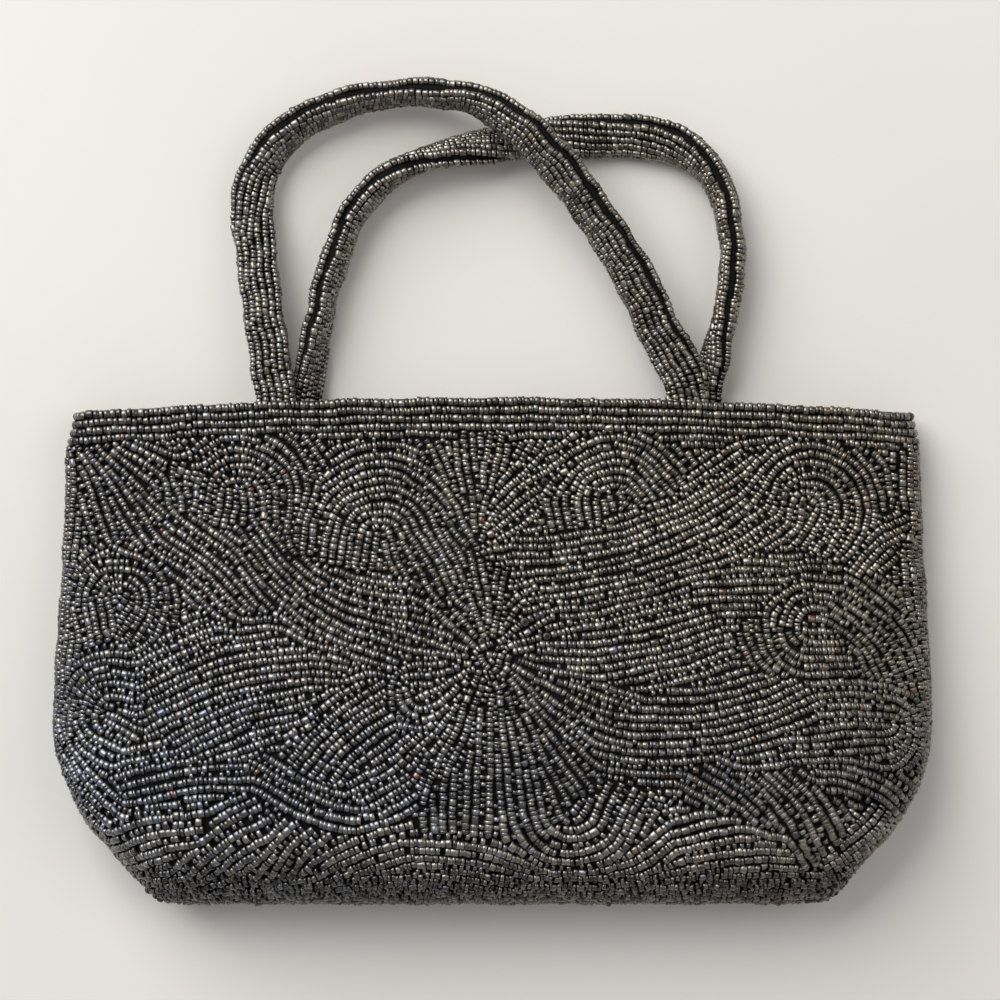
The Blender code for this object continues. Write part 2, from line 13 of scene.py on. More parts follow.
import bpy
import numpy as np
from mathutils import Vector
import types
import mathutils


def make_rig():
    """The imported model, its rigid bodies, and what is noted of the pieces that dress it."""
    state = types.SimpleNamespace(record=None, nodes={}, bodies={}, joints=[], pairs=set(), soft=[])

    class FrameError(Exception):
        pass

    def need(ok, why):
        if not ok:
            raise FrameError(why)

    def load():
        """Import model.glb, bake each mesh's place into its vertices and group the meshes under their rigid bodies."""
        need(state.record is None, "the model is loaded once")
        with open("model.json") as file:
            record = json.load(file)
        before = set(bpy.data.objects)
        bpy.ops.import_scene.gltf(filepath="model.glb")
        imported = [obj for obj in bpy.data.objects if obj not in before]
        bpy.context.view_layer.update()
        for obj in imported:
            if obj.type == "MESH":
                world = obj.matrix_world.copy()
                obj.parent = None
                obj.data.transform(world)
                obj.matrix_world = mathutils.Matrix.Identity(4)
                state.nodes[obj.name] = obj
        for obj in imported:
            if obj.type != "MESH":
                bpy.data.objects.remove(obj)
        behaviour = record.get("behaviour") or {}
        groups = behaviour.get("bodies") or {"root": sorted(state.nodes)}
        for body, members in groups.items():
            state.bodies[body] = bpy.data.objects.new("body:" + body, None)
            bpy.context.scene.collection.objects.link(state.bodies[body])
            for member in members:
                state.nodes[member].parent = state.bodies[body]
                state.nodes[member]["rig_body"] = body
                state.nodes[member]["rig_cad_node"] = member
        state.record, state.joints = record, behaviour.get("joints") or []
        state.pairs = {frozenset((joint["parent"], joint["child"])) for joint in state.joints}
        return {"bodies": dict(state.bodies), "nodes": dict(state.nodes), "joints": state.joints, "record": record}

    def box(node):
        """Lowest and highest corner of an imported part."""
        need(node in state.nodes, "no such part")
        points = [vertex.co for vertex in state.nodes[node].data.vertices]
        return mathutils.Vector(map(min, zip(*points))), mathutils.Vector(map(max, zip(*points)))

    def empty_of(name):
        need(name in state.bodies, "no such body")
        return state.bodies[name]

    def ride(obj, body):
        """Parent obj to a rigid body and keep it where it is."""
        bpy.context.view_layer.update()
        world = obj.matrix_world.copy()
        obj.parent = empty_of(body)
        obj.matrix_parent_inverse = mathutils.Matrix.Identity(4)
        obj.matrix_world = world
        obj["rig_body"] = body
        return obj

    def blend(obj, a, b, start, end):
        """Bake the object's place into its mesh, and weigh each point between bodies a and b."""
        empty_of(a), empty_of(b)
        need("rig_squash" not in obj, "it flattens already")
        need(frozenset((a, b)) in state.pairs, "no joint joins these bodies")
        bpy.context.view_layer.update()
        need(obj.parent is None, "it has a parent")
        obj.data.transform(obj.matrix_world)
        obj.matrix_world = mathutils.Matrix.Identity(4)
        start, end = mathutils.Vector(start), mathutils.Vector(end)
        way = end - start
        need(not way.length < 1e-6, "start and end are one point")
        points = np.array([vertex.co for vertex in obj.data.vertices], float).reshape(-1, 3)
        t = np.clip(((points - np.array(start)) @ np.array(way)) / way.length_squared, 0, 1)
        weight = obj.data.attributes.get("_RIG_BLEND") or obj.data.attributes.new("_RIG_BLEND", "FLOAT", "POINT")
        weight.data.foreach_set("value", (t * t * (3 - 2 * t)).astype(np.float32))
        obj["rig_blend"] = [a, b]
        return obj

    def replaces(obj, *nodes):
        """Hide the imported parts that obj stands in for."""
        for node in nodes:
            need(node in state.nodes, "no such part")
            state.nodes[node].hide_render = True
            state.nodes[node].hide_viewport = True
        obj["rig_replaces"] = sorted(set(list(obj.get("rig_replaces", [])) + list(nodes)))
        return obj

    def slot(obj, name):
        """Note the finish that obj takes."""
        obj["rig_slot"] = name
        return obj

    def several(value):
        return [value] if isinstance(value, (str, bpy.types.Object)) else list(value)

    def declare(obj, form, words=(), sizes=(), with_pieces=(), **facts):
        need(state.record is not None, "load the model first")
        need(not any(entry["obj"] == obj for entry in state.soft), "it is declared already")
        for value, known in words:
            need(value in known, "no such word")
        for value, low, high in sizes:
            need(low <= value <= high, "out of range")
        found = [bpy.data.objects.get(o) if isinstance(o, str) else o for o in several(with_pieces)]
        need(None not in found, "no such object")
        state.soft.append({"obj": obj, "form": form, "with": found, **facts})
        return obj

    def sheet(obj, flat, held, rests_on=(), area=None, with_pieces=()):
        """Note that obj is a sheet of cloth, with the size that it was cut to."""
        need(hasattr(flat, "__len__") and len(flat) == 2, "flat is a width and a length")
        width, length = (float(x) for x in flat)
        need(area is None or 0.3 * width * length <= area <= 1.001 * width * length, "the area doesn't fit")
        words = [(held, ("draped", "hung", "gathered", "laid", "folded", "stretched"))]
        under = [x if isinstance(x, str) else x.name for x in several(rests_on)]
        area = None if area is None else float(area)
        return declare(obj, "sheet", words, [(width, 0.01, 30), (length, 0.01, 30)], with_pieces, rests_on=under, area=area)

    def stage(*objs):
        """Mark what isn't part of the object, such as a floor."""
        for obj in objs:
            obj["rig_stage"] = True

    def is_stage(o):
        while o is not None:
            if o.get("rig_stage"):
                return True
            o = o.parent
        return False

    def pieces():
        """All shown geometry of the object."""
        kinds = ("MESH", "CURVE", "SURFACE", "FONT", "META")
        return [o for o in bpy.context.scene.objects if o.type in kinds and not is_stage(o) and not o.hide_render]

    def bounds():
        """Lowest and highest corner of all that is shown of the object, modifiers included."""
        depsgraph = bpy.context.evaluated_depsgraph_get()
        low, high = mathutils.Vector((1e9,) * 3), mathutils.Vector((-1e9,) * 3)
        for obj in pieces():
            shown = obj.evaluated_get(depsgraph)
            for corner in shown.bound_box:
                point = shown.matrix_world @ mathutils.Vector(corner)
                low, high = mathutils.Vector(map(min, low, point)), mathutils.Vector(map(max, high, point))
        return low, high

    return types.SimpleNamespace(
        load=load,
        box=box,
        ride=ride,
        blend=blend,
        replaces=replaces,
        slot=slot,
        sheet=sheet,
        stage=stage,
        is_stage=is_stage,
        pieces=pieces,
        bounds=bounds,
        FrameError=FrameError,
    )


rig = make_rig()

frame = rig.load()
cad_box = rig.bounds()

mm = 0.001

# The form inside the bag, as in part.py.
CLEARANCE = 0.3 * mm
LINING = 0.6 * mm
INTERLINING = 1.2 * mm
BEADED_CLOTH = 2.2 * mm
WALL = LINING + INTERLINING + BEADED_CLOTH + 2 * CLEARANCE
WIDEST = 239.6 * mm
BODY_LENGTH = 137.2 * mm
BODY_DEPTH = 38.0 * mm
MOUTH_GAP = 5.6 * mm
BASE_REACH = 24.6 * mm
MOUTH_SAG = 4.2 * mm
HANDLE_DROP = 87.6 * mm
HANDLE_SPREAD = 112.4 * mm
STRAP_WIDTH = 12.2 * mm
STRAP_THICKNESS = 7.0 * mm
STRAP_POWER = 2.4
CORE_LENGTH = BODY_LENGTH - WALL
CORE_HALF_WIDTH = WIDEST / 2 - WALL
CORE_DEPTH = BODY_DEPTH - 2 * WALL
MOUTH_THICKNESS = MOUTH_GAP + 2 * WALL
PANEL_LENGTH = CORE_LENGTH - BASE_REACH
FRONT_SEAM_ANGLE = math.radians(42)
BACK_SEAM_ANGLE = math.radians(-50)
FULL_TURN = 2 * math.pi
WIDTH_shares = [
    (0, 0.958), (0.06, 0.972), (0.13, 0.977), (0.23, 0.980), (0.34, 0.985), (0.47, 0.993), (0.60, 1),
    (0.71, 0.993), (0.757, 0.979), (0.80, 0.958), (0.857, 0.913), (0.90, 0.868), (0.944, 0.826),
    (0.975, 0.801), (1, 0.775),
]
RISE_shares = [(0, 0), (0.147, 0.01), (0.377, 0.42), (0.603, 0.80), (0.754, 0.965), (0.815, 1), (1, 1)]
SIDE_HEIGHT_shares = [(0, 0), (0.377, 0.05), (0.739, 0.22), (0.815, 0.31), (1, 0.18)]
FRONT_POWER_shares = [(0, 5), (0.377, 3), (0.686, 2.6), (0.815, 3), (1, 4)]
BACK_POWER = 6
FRONT_FOLD_POWER = 0.82
BACK_FOLD_POWER = 0.35
SECTION_SAMPLES = 1500
SLOPE_STEP_share = 0.0005
LEAN_share = 0.4

# Each handle from its left foot to its right one: across, along, height, tilt, width, thickness.
FRONT_ROUTE_shares = [
    (-0.525, 0, 0.760, 0, 1, 0.83),
    (-0.554, 0.24, 0.70, 0, 1, 0.90),
    (-0.580, 0.49, 0.53, 0, 1, 1),
    (-0.588, 0.643, 0.46, 0.18, 1, 1),
    (-0.556, 0.758, 0.45, 0.43, 1, 1),
    (-0.494, 0.850, 0.47, 0.63, 1, 1),
    (-0.388, 0.920, 0.48, 0.72, 1, 1),
    (-0.264, 0.960, 0.53, 0.88, 1, 1),
    (-0.128, 0.960, 0.66, 0.90, 1, 1),
    (-0.019, 0.919, 0.95, 0.74, 1, 1),
    (0.077, 0.835, 1.17, 0.50, 1, 1),
    (0.167, 0.714, 1.06, 0.40, 1, 1),
    (0.250, 0.571, 0.93, 0.42, 1, 1),
    (0.339, 0.391, 0.83, 0.29, 1, 1),
    (0.405, 0.215, 0.78, 0.25, 1, 0.95),
    (0.457, 0.093, 0.760, 0.08, 1, 0.88),
    (0.474, 0, 0.760, 0, 1, 0.83),
]
BACK_ROUTE_shares = [
    (-0.460, 0, 0.268, 0.36, 0.84, 0.83),
    (-0.437, 0.177, 0.42, 0.70, 0.95, 0.95),
    (-0.416, 0.317, 0.45, 0.83, 1, 1),
    (-0.387, 0.441, 0.45, 0.87, 1, 1),
    (-0.347, 0.571, 0.45, 0.82, 1, 1),
    (-0.288, 0.671, 0.45, 0.84, 1, 1),
    (-0.206, 0.739, 0.45, 1.03, 1, 1),
    (-0.103, 0.781, 0.44, 1.32, 1, 1),
    (0.017, 0.810, 0.37, 1.62, 1, 1),
    (0.138, 0.829, 0.30, 1.90, 1, 1),
    (0.259, 0.836, 0.30, 2.17, 1, 1),
    (0.370, 0.829, 0.32, 2.30, 1, 1),
    (0.471, 0.790, 0.39, 2.54, 1, 1),
    (0.538, 0.704, 0.44, 2.80, 1, 1),
    (0.572, 0.585, 0.45, 2.92, 1, 1),
    (0.584, 0.447, 0.45, 3.00, 1, 1),
    (0.571, 0.301, 0.45, 3.00, 1, 1),
    (0.547, 0.161, 0.42, 2.78, 0.95, 0.95),
    (0.514, 0, 0.268, 2.38, 0.84, 0.83),
]

# The ornament: which way the bead rows run, chosen over the photograph in its pixels. Angles are
# in degrees clockwise from the right. A set of rings has its middle, smallest and largest radius and
# angles.
RINGS = {
    "upper_left_rosette": (242, 494, 12, 78, 180, 365),
    "left_rosette": (122, 598, 14, 50, 150, 400),
    "lower_left_scroll": (118, 712, 14, 54, 110, 290),
    "scroll_left_of_middle": (380, 535, 14, 80, 180, 350),
    "upper_right_scroll": (612, 500, 14, 74, 165, 330),
    "right_swirl": (808, 506, 12, 64, 180, 400),
    "right_loop": (805, 625, 12, 48, 80, 285),
    "lower_right_loop": (878, 722, 12, 44, 270, 450),
    "flower_core": (490, 655, 5, 22, 0, 345),
    "loop_beside_the_flower": (456, 614, 8, 24, 120, 330),
    "lower_middle_loop": (420, 690, 10, 30, 50, 290),
    "middle_fold_bowl": (568, 798, 22, 64, 20, 160),
}
# A fan has a middle, its inner and outer radius, its angles and the number of its rays.
FANS = {
    "upper_left_leaf": (62, 410, 30, 150, 22, 68, 5),
    "top_middle_spray": (478, 548, 24, 105, 225, 320, 6),
    "flower_top": (490, 655, 26, 84, 200, 340, 8),
    "flower_left": (490, 655, 24, 66, 110, 170, 4),
    "flower_stems": (488, 560, 140, 250, 78, 100, 4),
    "flower_lower_right": (480, 640, 50, 150, 22, 62, 5),
}
# A leaf has its two ends, how far it bends aside between them, and the number of its lines.
LEAVES = {
    "left_edge": (64, 470, 62, 700, 0, 1),
    "right_edge": (914, 440, 926, 700, -4, 1),
    "under_the_mouth_left": (90, 424, 470, 414, 8, 2),
    "under_the_mouth_right": (510, 414, 890, 424, 8, 2),
    "left_leaf_spray": (182, 552, 244, 612, 4, 3),
    "left_sweep": (262, 560, 388, 650, -14, 4),
    "left_long_leaf": (160, 668, 284, 628, 8, 3),
    "left_low_leaf": (196, 690, 340, 664, 10, 3),
    "low_left_spray": (205, 738, 310, 700, 6, 3),
    "left_lower_corner": (70, 770, 120, 820, -4, 3),
    "low_left_rows": (140, 780, 232, 764, 4, 2),
    "under_the_left_scroll": (322, 592, 404, 614, -6, 2),
    "middle_leaf": (420, 530, 446, 578, 2, 2),
    "right_of_the_scroll": (500, 500, 556, 470, 4, 2),
    "right_long_leaves": (520, 580, 760, 494, -22, 5),
    "right_middle_leaves": (620, 604, 770, 582, 8, 3),
    "flower_right_leaf": (540, 656, 690, 634, -8, 3),
    "right_of_the_swirl": (858, 560, 900, 530, 4, 2),
    "right_spray": (850, 600, 900, 660, 6, 3),
    "right_lower_arcs": (600, 722, 786, 700, -16, 3),
    "right_low_rows": (736, 752, 858, 738, 4, 2),
    "lower_right_corner": (820, 768, 892, 800, 8, 2),
    "left_of_the_loop": (318, 744, 382, 690, 4, 4),
    "under_the_loop": (380, 790, 456, 726, -6, 3),
    "low_middle_stems": (434, 760, 440, 806, 0, 2),
    "low_left_middle": (286, 780, 356, 808, -4, 2),
    "left_fold_rows": (126, 842, 200, 822, 4, 3),
    "left_fold_leaves": (204, 872, 262, 826, 4, 4),
    "left_fold_sprays": (276, 872, 312, 824, 4, 3),
    "middle_fold_left": (328, 866, 396, 834, 4, 3),
    "middle_fold_rows": (420, 848, 516, 866, 6, 3),
    "right_fold_bends": (604, 876, 660, 846, -4, 2),
    "right_fold_rows": (680, 850, 770, 842, 4, 3),
    "right_fold_leaves": (716, 768, 762, 806, 3, 3),
    "right_fold_sprays": (770, 776, 812, 836, 3, 3),
    "right_fold_end": (830, 860, 880, 816, -4, 3),
    "base_upper_row": (150, 876, 840, 874, 3, 1),
    "base_middle_row": (160, 892, 826, 890, 3, 1),
    "base_lower_row": (200, 905, 800, 903, 2, 1),
}

MOUTH_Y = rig.box("front_panel")[1].y
FOOT_Y = MOUTH_Y - MOUTH_SAG * (HANDLE_SPREAD / 2 / CORE_HALF_WIDTH) ** 2

# The photograph: a pixel's size on the bag, and the pixel over the middle of the handles' feet.
PIXEL = 0.272 * mm
MIDDLE_PIXEL = (493, 402)
PHOTO_SIZE = 1000
GUIDE_COLUMNS = (40, 960)
GUIDE_LINES = (386, 920)
GUIDE_STEP = 3
GUIDE_SPACING = 16
GUIDE_POINTS = 13
GUIDE_REACH = 8.0
FAR = 1e9
SMALLEST = 1e-12
SMALLEST_SQUARE = 1e-30

# Bead rows on the bag.
BEAD_RADIUS = 1.14 * mm
BEAD_LENGTH = 1.24 * mm
BEAD_LENGTH_SPREAD = 0.27
SHORTEST_BEAD = 0.8 * mm
LONGEST_BEAD = 2.4 * mm
BEAD_GAP = 0.06 * mm
END_REACH = 0.55 * mm
HOLE_REACH = 1.42 * mm
HOLE_BEAD_share = 0.84
HOLE_BEAD_DROP = 0.12 * mm
ROW_PITCH = 2.26 * mm
NEAR_share = 0.80
WIDE_share = 0.87
ROW_STEP = 0.6 * mm
SHARPEST_TURN = 0.82
LONG_ROW = 9 * mm
SHORT_ROW = 4 * mm
LOOP_LAG = 9
LOOP_CELL = 2.8
SEED_EVERY = 4
MOUTH_ROWS = 4
MOUTH_MARGIN = 0.2
STEEP = 0.30
FACES_FRONT = 0.05
CELL = 0.5 * mm
LONE_BEAD_AIM = CELL / 10
STAMP_REACH = 8
SURFACE_COLUMNS = 1024
PANEL_RINGS = 109
BASE_RINGS = 44
FOLD_SPREAD = 0.15
FOLD_REACH = 9 * mm
FOLD_PAST_THE_SEAM = 9 * mm
TRACE_SEED = 7

# Bead rows on the handles: each face has its rows, and a groove of bare cloth runs along both edges.
HANDLE_BEAD_RADIUS = 0.98 * mm
HANDLE_INSET = 0.95 * mm
FACE_ROWS = 6
GROOVE_share = 0.135
# How far the groove turns round the strap towards the front, by shares of the strap's route.
GROOVE_TURNS = {
    "front": ((0.08, 0.20, 0.30, 0.42, 0.56, 0.64, 0.92, 1), (0, 0.045, 0.04, 0, -0.01, 0.055, 0.05, 0.02)),
    "back": ((0, 0.42, 0.52, 0.68, 0.78, 1), (0, 0, 0.055, 0.055, 0, 0)),
}
STRAP_RINGS = 320
STRAP_SAMPLES = 2000

# How loosely the beads are sewn, their colours under the shade of each bead, and painted shade and light on parts of
# the bag.
BEAD_LIFT = 0.07 * mm
BEAD_DRIFT = 0.12 * mm
BEAD_LEAN = 0.12
BEAD_SIZE_SPREAD = 0.05
BEAD_SIZE_LIMITS = (0.85, 1.12)
BEAD_SEED = 11
HANDLE_SEEDS = {"front_handle": 5, "back_handle": 6}
NOISE_WAVES = 8
NOISE_PITCHES = (0.7, 1.4)
WAVER_LENGTH = 13 * mm
ROW_WAVER = 0.26 * mm
HANDLE_WAVER = 0.30 * mm
# Beads that stand on end, in the photograph's pixels: eleven that it shows there, and four more.
RING_BEADS = [
    (543, 482), (611, 546), (526, 623), (545, 637), (478, 641), (651, 593), (779, 490),
    (801, 504), (805, 513), (889, 446), (254, 768), (349, 505), (402, 716), (690, 655), (268, 590),
]
BEAD_TONES = [
    (0.0, (0.31, 0.345, 0.43)),
    (0.3, (0.355, 0.36, 0.375)),
    (0.6, (0.385, 0.365, 0.33)),
    (0.9, (0.40, 0.355, 0.29)),
    (0.98, (0.40, 0.34, 0.27)),
    (1.0, (0.40, 0.27, 0.21)),
]
TONE_MIDDLE = 0.47
TONE_DRIFT = 0.17
TONE_SPREAD = 0.12
TONE_DOWN = ((0, 0.5, 0.85, 1.0, 1.1), (0.17, 0.12, -0.03, -0.10, 0.06))
RUSTY_share = 0.002
DULLEST_share = 0.31
# The base: painted shade darkens its beads by the first share, and the slack sews them looser, between these lengths
# past the panels' end.
PAINTED_BASE_SHADE_share = 0.30
WORN_SLACK = 2.6
BASE_SHADE_AND_WEAR_FROM = 13 * mm
BASE_SHADE_AND_WEAR_TO = 19 * mm
# Broad painted shading over the bag: how far it darkens the beads, and its waves across and along.
PAINTED_SHADING_DRIFT = 0.10
PAINTED_SHADING_ACROSS = (17, 5, 7)
PAINTED_SHADING_ALONG = (13, 4, 9)
# Painted light and size of the beads by their length past the panels' end: painted shade just above the fold, and
# larger beads on the fold, brighter there as painted light where it catches the lamp.
FOLD_PAINTED_LIGHT = ((-16 * mm, -8 * mm, 1 * mm, 4 * mm, 13 * mm, 18 * mm), (1, 0.90, 0.90, 1.14, 1.14, 1))
FOLD_SWELL = ((0, 4 * mm, 13 * mm, 17 * mm), (1, 1.09, 1.09, 1))

# Cloth under the beads, linings and the cloth of the handles: depths below or heights above a surface.
CLOTH_BELOW = 1.35 * mm
CLOTH_RINGS = 46
CLOTH_COLUMNS = 96
CLOTH_SIDE_COLUMNS = 20
BASE_CLOTH_RINGS = 20
HANDLE_CLOTH = (1.45 * mm, 1.9 * mm)
HANDLE_CORE = 2.2 * mm
HANDLE_CLOTH_SIDES = 32
HANDLE_BEND = 12 * mm
LINING_CLOTH = 0.3 * mm
LINING_RIPPLE = 0.25 * mm
RIPPLES = 5
RIPPLES_ACROSS = (2, 9)
RIPPLES_ALONG = (1, 4)
FACING_SETBACK = 1.0 * mm
FACING_DEPTH = 15.0 * mm
FACING_RINGS = 8
# Side gussets, folded flat between the linings, and the slip pocket on the back lining.
GUSSET_SEAM = 111.0 * mm
GUSSET_FOLD = 95.0 * mm
GUSSET_SEAM_ANGLE = math.radians(40)
GUSSET_SETBACK = 1.5 * mm
GUSSET_SAMPLES = 400
GUSSET_COLUMNS = 16
GUSSET_CLOTH = 0.25 * mm
GUSSET_BELOW = 0.2 * mm
GUSSET_LAYERS_APART = 0.45 * mm
GUSSET_SWELL_places = (0, 0.12, 0.88, 1)
GUSSET_SWELL = (0.4, 1, 1, 0.3)
POCKET_WIDTH = 92.0 * mm
POCKET_LENGTH = 58.0 * mm
POCKET_FROM_MOUTH = 30.0 * mm
POCKET_CLOTH = 0.5 * mm
POCKET_HEM = 8.0 * mm
POCKET_SLACK = 0.35 * mm
POCKET_EDGE = 0.2 * mm
POCKET_COLUMNS = 41
POCKET_LINES = 30
FRONT_facings = (FRONT_SEAM_ANGLE, math.pi - FRONT_SEAM_ANGLE)
BACK_facings = (math.pi - BACK_SEAM_ANGLE, FULL_TURN + BACK_SEAM_ANGLE)
RIGHT_facings = (BACK_SEAM_ANGLE, FRONT_SEAM_ANGLE)
LEFT_facings = (math.pi - FRONT_SEAM_ANGLE, math.pi - BACK_SEAM_ANGLE)
ALL_ROUND = (0, FULL_TURN)

# Depth of the fine relief on each material.
CLOTH_RELIEF = 0.05 * mm
SATIN_RELIEF = 0.12 * mm
RIBBON_RELIEF = 0.12 * mm
PADDING_RELIEF = 0.2 * mm
CARD_RELIEF = 0.06 * mm
CORD_RELIEF = 0.3 * mm
METAL_RELIEF = 0.01 * mm

# What a CAD piece that stays is made of, by a word in its name.
CAD_LOOKS = {
    "interlining": "padding",
    "board": "card",
    "core": "cord",
    "tab": "ribbon",
    "snap": "metal",
    "lining": "satin",
    "pocket": "satin",
    "facing": "ribbon",
    "panel": "cloth",
    "cover": "cloth",
}

# The camera looks straight down, and the frame is this wide at the height of the bag's front.
SENSOR = 36
CAMERA_DISTANCE = 0.75
VIEW_WIDTH = PHOTO_SIZE * PIXEL
VIEW_PLANE = 13 * mm
VIEW_MIDDLE = (
    (PHOTO_SIZE / 2 - MIDDLE_PIXEL[0]) * PIXEL,
    FOOT_Y - (PHOTO_SIZE / 2 - MIDDLE_PIXEL[1]) * PIXEL,
)

# Lamps: name, place, size in metres, watts and colour.
LAMPS = [
    ("window", (-1.0, 1.25, 1.35), (1.7, 2.0), 48.0, (1.0, 0.99, 0.97)),
    ("fill", (1.2, 0.3, 1.6), (1.2, 1.2), 5.0, (1.0, 0.95, 0.88)),
]
WORLD_COLOUR = (0.97, 0.98, 1.0)
WORLD_STRENGTH = 0.30
FLOOR_SIZE = 6.0
FLOOR_DARKER = (0.83, 0.81, 0.765)
FLOOR_LIGHTER = (0.88, 0.865, 0.825)

# A bead's outline: (along, radius) shares, from one end to the other.
BEAD_PROFILE = [(-1, 0.85), (-0.72, 1.0), (0.72, 1.0), (1, 0.85)]
BEAD_SIDES = 8
BEAD_DIMPLE = 0.5
# How dark a bead's end rings are: painted shade where the beads touch, and the black thread between them.
END_SHADE_AND_THREAD = 0.5
# Where a bead's side and end lie in its cell of the texture map.
BEAD_SIDE_MAP = [(0.15, 0.12), (0.85, 0.12), (0.85, 0.55), (0.15, 0.55)]
BEAD_END_MAP = [(0.5, 0.90), (0.15, 0.68), (0.85, 0.68)]
MOST_BEADS_IN_A_PIECE = 3000


def smooth_curve(rows, where):
    """Values of a table's second and later columns at each place in where, on a curve through its rows."""
    rows = np.asarray(rows, float)
    places, values = rows[:, 0], rows[:, 1:]
    slopes = np.gradient(values, places, axis=0)
    where = np.clip(np.atleast_1d(where), places[0], places[-1])
    after = np.clip(np.searchsorted(places, where, side="right"), 1, len(places) - 1)
    before = after - 1
    span = (places[after] - places[before])[:, None]
    t = (where[:, None] - places[before][:, None]) / span
    rise = 3 * t**2 - 2 * t**3
    start = t * (1 - t) ** 2 * span * slopes[before]
    end = t**2 * (t - 1) * span * slopes[after]
    return values[before] * (1 - rise) + values[after] * rise + start + end


def share_at(rows, where):
    return float(smooth_curve(rows, where)[0, 0])


def ring_sizes(length):
    """Sizes of the core's ring at this length from the mouth, which narrows to a line over the base."""
    share = length / CORE_LENGTH
    taper = CORE_DEPTH - MOUTH_GAP
    side_height = WALL + MOUTH_GAP / 2 + taper * share_at(SIDE_HEIGHT_shares, share)
    front = WALL + MOUTH_GAP + taper * share_at(RISE_shares, share) - side_height
    back = side_height - WALL
    narrowing = 1
    if length > PANEL_LENGTH:
        left = max(0, CORE_LENGTH - length) / BASE_REACH
        narrowing = math.sqrt(left * (2 - left))
    return {
        "half_width": CORE_HALF_WIDTH * share_at(WIDTH_shares, share),
        "side_height": side_height,
        "front": front * narrowing**FRONT_FOLD_POWER,
        "back": back * narrowing**BACK_FOLD_POWER,
        "front_power": share_at(FRONT_POWER_shares, share),
    }


def half_ring(half_width, height, power):
    """Points (x, z) of a half superellipse from one side to the other, and the way each faces."""
    k = np.linspace(0, 1, SECTION_SAMPLES)
    quarter = k ** (power / 2) / (k ** (power / 2) + (1 - k) ** (power / 2)) * math.pi / 2
    across, up = np.cos(quarter), np.sin(quarter)
    across[-1] = 0
    x = half_width * across ** (2 / power)
    z = height * up ** (2 / power)
    facing = np.arctan2(half_width * up ** (2 - 2 / power), height * across ** (2 - 2 / power))
    facing[0] = 0
    x = np.concatenate([x, -x[-2::-1]])
    z = np.concatenate([z, z[-2::-1]])
    facing = np.concatenate([facing, math.pi - facing[-2::-1]])
    return x, z, facing


def support(sizes, facing):
    """How far the ring reaches in each direction that it faces, from the middle of the floor."""
    height = np.where(np.sin(facing) >= 0, sizes["front"], sizes["back"])
    power = np.where(np.sin(facing) >= 0, sizes["front_power"], BACK_POWER)
    dual = power / (power - 1)
    across = np.abs(sizes["half_width"] * np.cos(facing)) ** dual
    up = np.abs(height * np.sin(facing)) ** dual
    return (across + up) ** (1 / dual) + sizes["side_height"] * np.sin(facing)


def core_ring(length, facing_from, facing_to, columns):
    """Points of one ring of the core between two facing directions, and their normals in space.

    The points are spread evenly over the outside of the wall, so that its tight sides stay round.
    """
    sizes = ring_sizes(length)
    front = half_ring(sizes["half_width"], sizes["front"], sizes["front_power"])
    back = half_ring(sizes["half_width"], sizes["back"], BACK_POWER)
    x = np.concatenate([front[0], -back[0][1:]])
    z = sizes["side_height"] + np.concatenate([front[1], -back[1][1:]])
    facing = np.concatenate([front[2], math.pi + back[2][1:]])
    x = np.concatenate([x[:-1], x[:-1], x])
    z = np.concatenate([z[:-1], z[:-1], z])
    facing = np.concatenate([facing[:-1] - FULL_TURN, facing[:-1], facing + FULL_TURN])
    reach = reach_along(np.hypot(np.diff(x), np.diff(z)) + WALL * np.diff(facing))
    start, end = np.interp([facing_from, facing_to], facing, reach)
    at = np.linspace(start, end, columns + 1)
    x, z, facing = (np.interp(at, reach, values) for values in (x, z, facing))
    step = SLOPE_STEP_share * CORE_LENGTH
    low, high = max(0, length - step), min(CORE_LENGTH, length + step)
    growth = (support(ring_sizes(high), facing) - support(ring_sizes(low), facing)) / (high - low)
    # The panels' rings stay flat, so that their ends are cut square, and the base's lean in by steps.
    lean = min(1, max(0, length - PANEL_LENGTH) / (LEAN_share * BASE_REACH))
    normals = unit(np.stack([np.cos(facing), lean * growth, np.sin(facing)], axis=1))
    if length >= CORE_LENGTH:
        normals[:] = (0, -1, 0)
    points = np.stack([x, np.full_like(x, MOUTH_Y - length), z], axis=1)
    return points, normals


def sag(x, length=0):
    """How far the mouth hangs below its middle here, fading out down the panels."""
    return MOUTH_SAG * (x / CORE_HALF_WIDTH) ** 2 * max(0, 1 - length / PANEL_LENGTH)


def unit(vectors):
    return vectors / np.maximum(np.linalg.norm(vectors, axis=-1, keepdims=True), SMALLEST)


def reach_along(steps):
    """The way covered up to each point of a line, from the steps between its points."""
    return np.concatenate([[0], np.cumsum(steps)])


def steps_between(points):
    """The length of each step from one point of a line to the next."""
    return np.linalg.norm(np.diff(points, axis=0), axis=-1)


def at_reach(wanted, reach, points):
    """Points in space at these ways along a line of points."""
    return np.stack([np.interp(wanted, reach, points[:, k]) for k in range(3)], axis=1)


def middle_across(x):
    """The place across the bag of a pixel of the photograph."""
    return (x - MIDDLE_PIXEL[0]) * PIXEL


def middle_up(y):
    """The place along the bag's length of a pixel of the photograph."""
    return FOOT_Y - (y - MIDDLE_PIXEL[1]) * PIXEL


def ring_lines(x, y, smallest, largest, start, end):
    """Arcs about one middle, a guide's spacing apart."""
    turns = np.radians(np.linspace(start, end, GUIDE_POINTS))
    shape = np.column_stack([np.cos(turns), np.sin(turns)])
    return [(x, y) + radius * shape for radius in np.arange(smallest, largest, GUIDE_SPACING)]


def fan_lines(x, y, inner, outer, start, end, rays):
    """Straight lines that spread out from one middle."""
    turns = np.radians(np.linspace(start, end, rays))
    ways = np.column_stack([np.cos(turns), np.sin(turns)])
    return [np.array([(x, y) + inner * way, (x, y) + outer * way]) for way in ways]


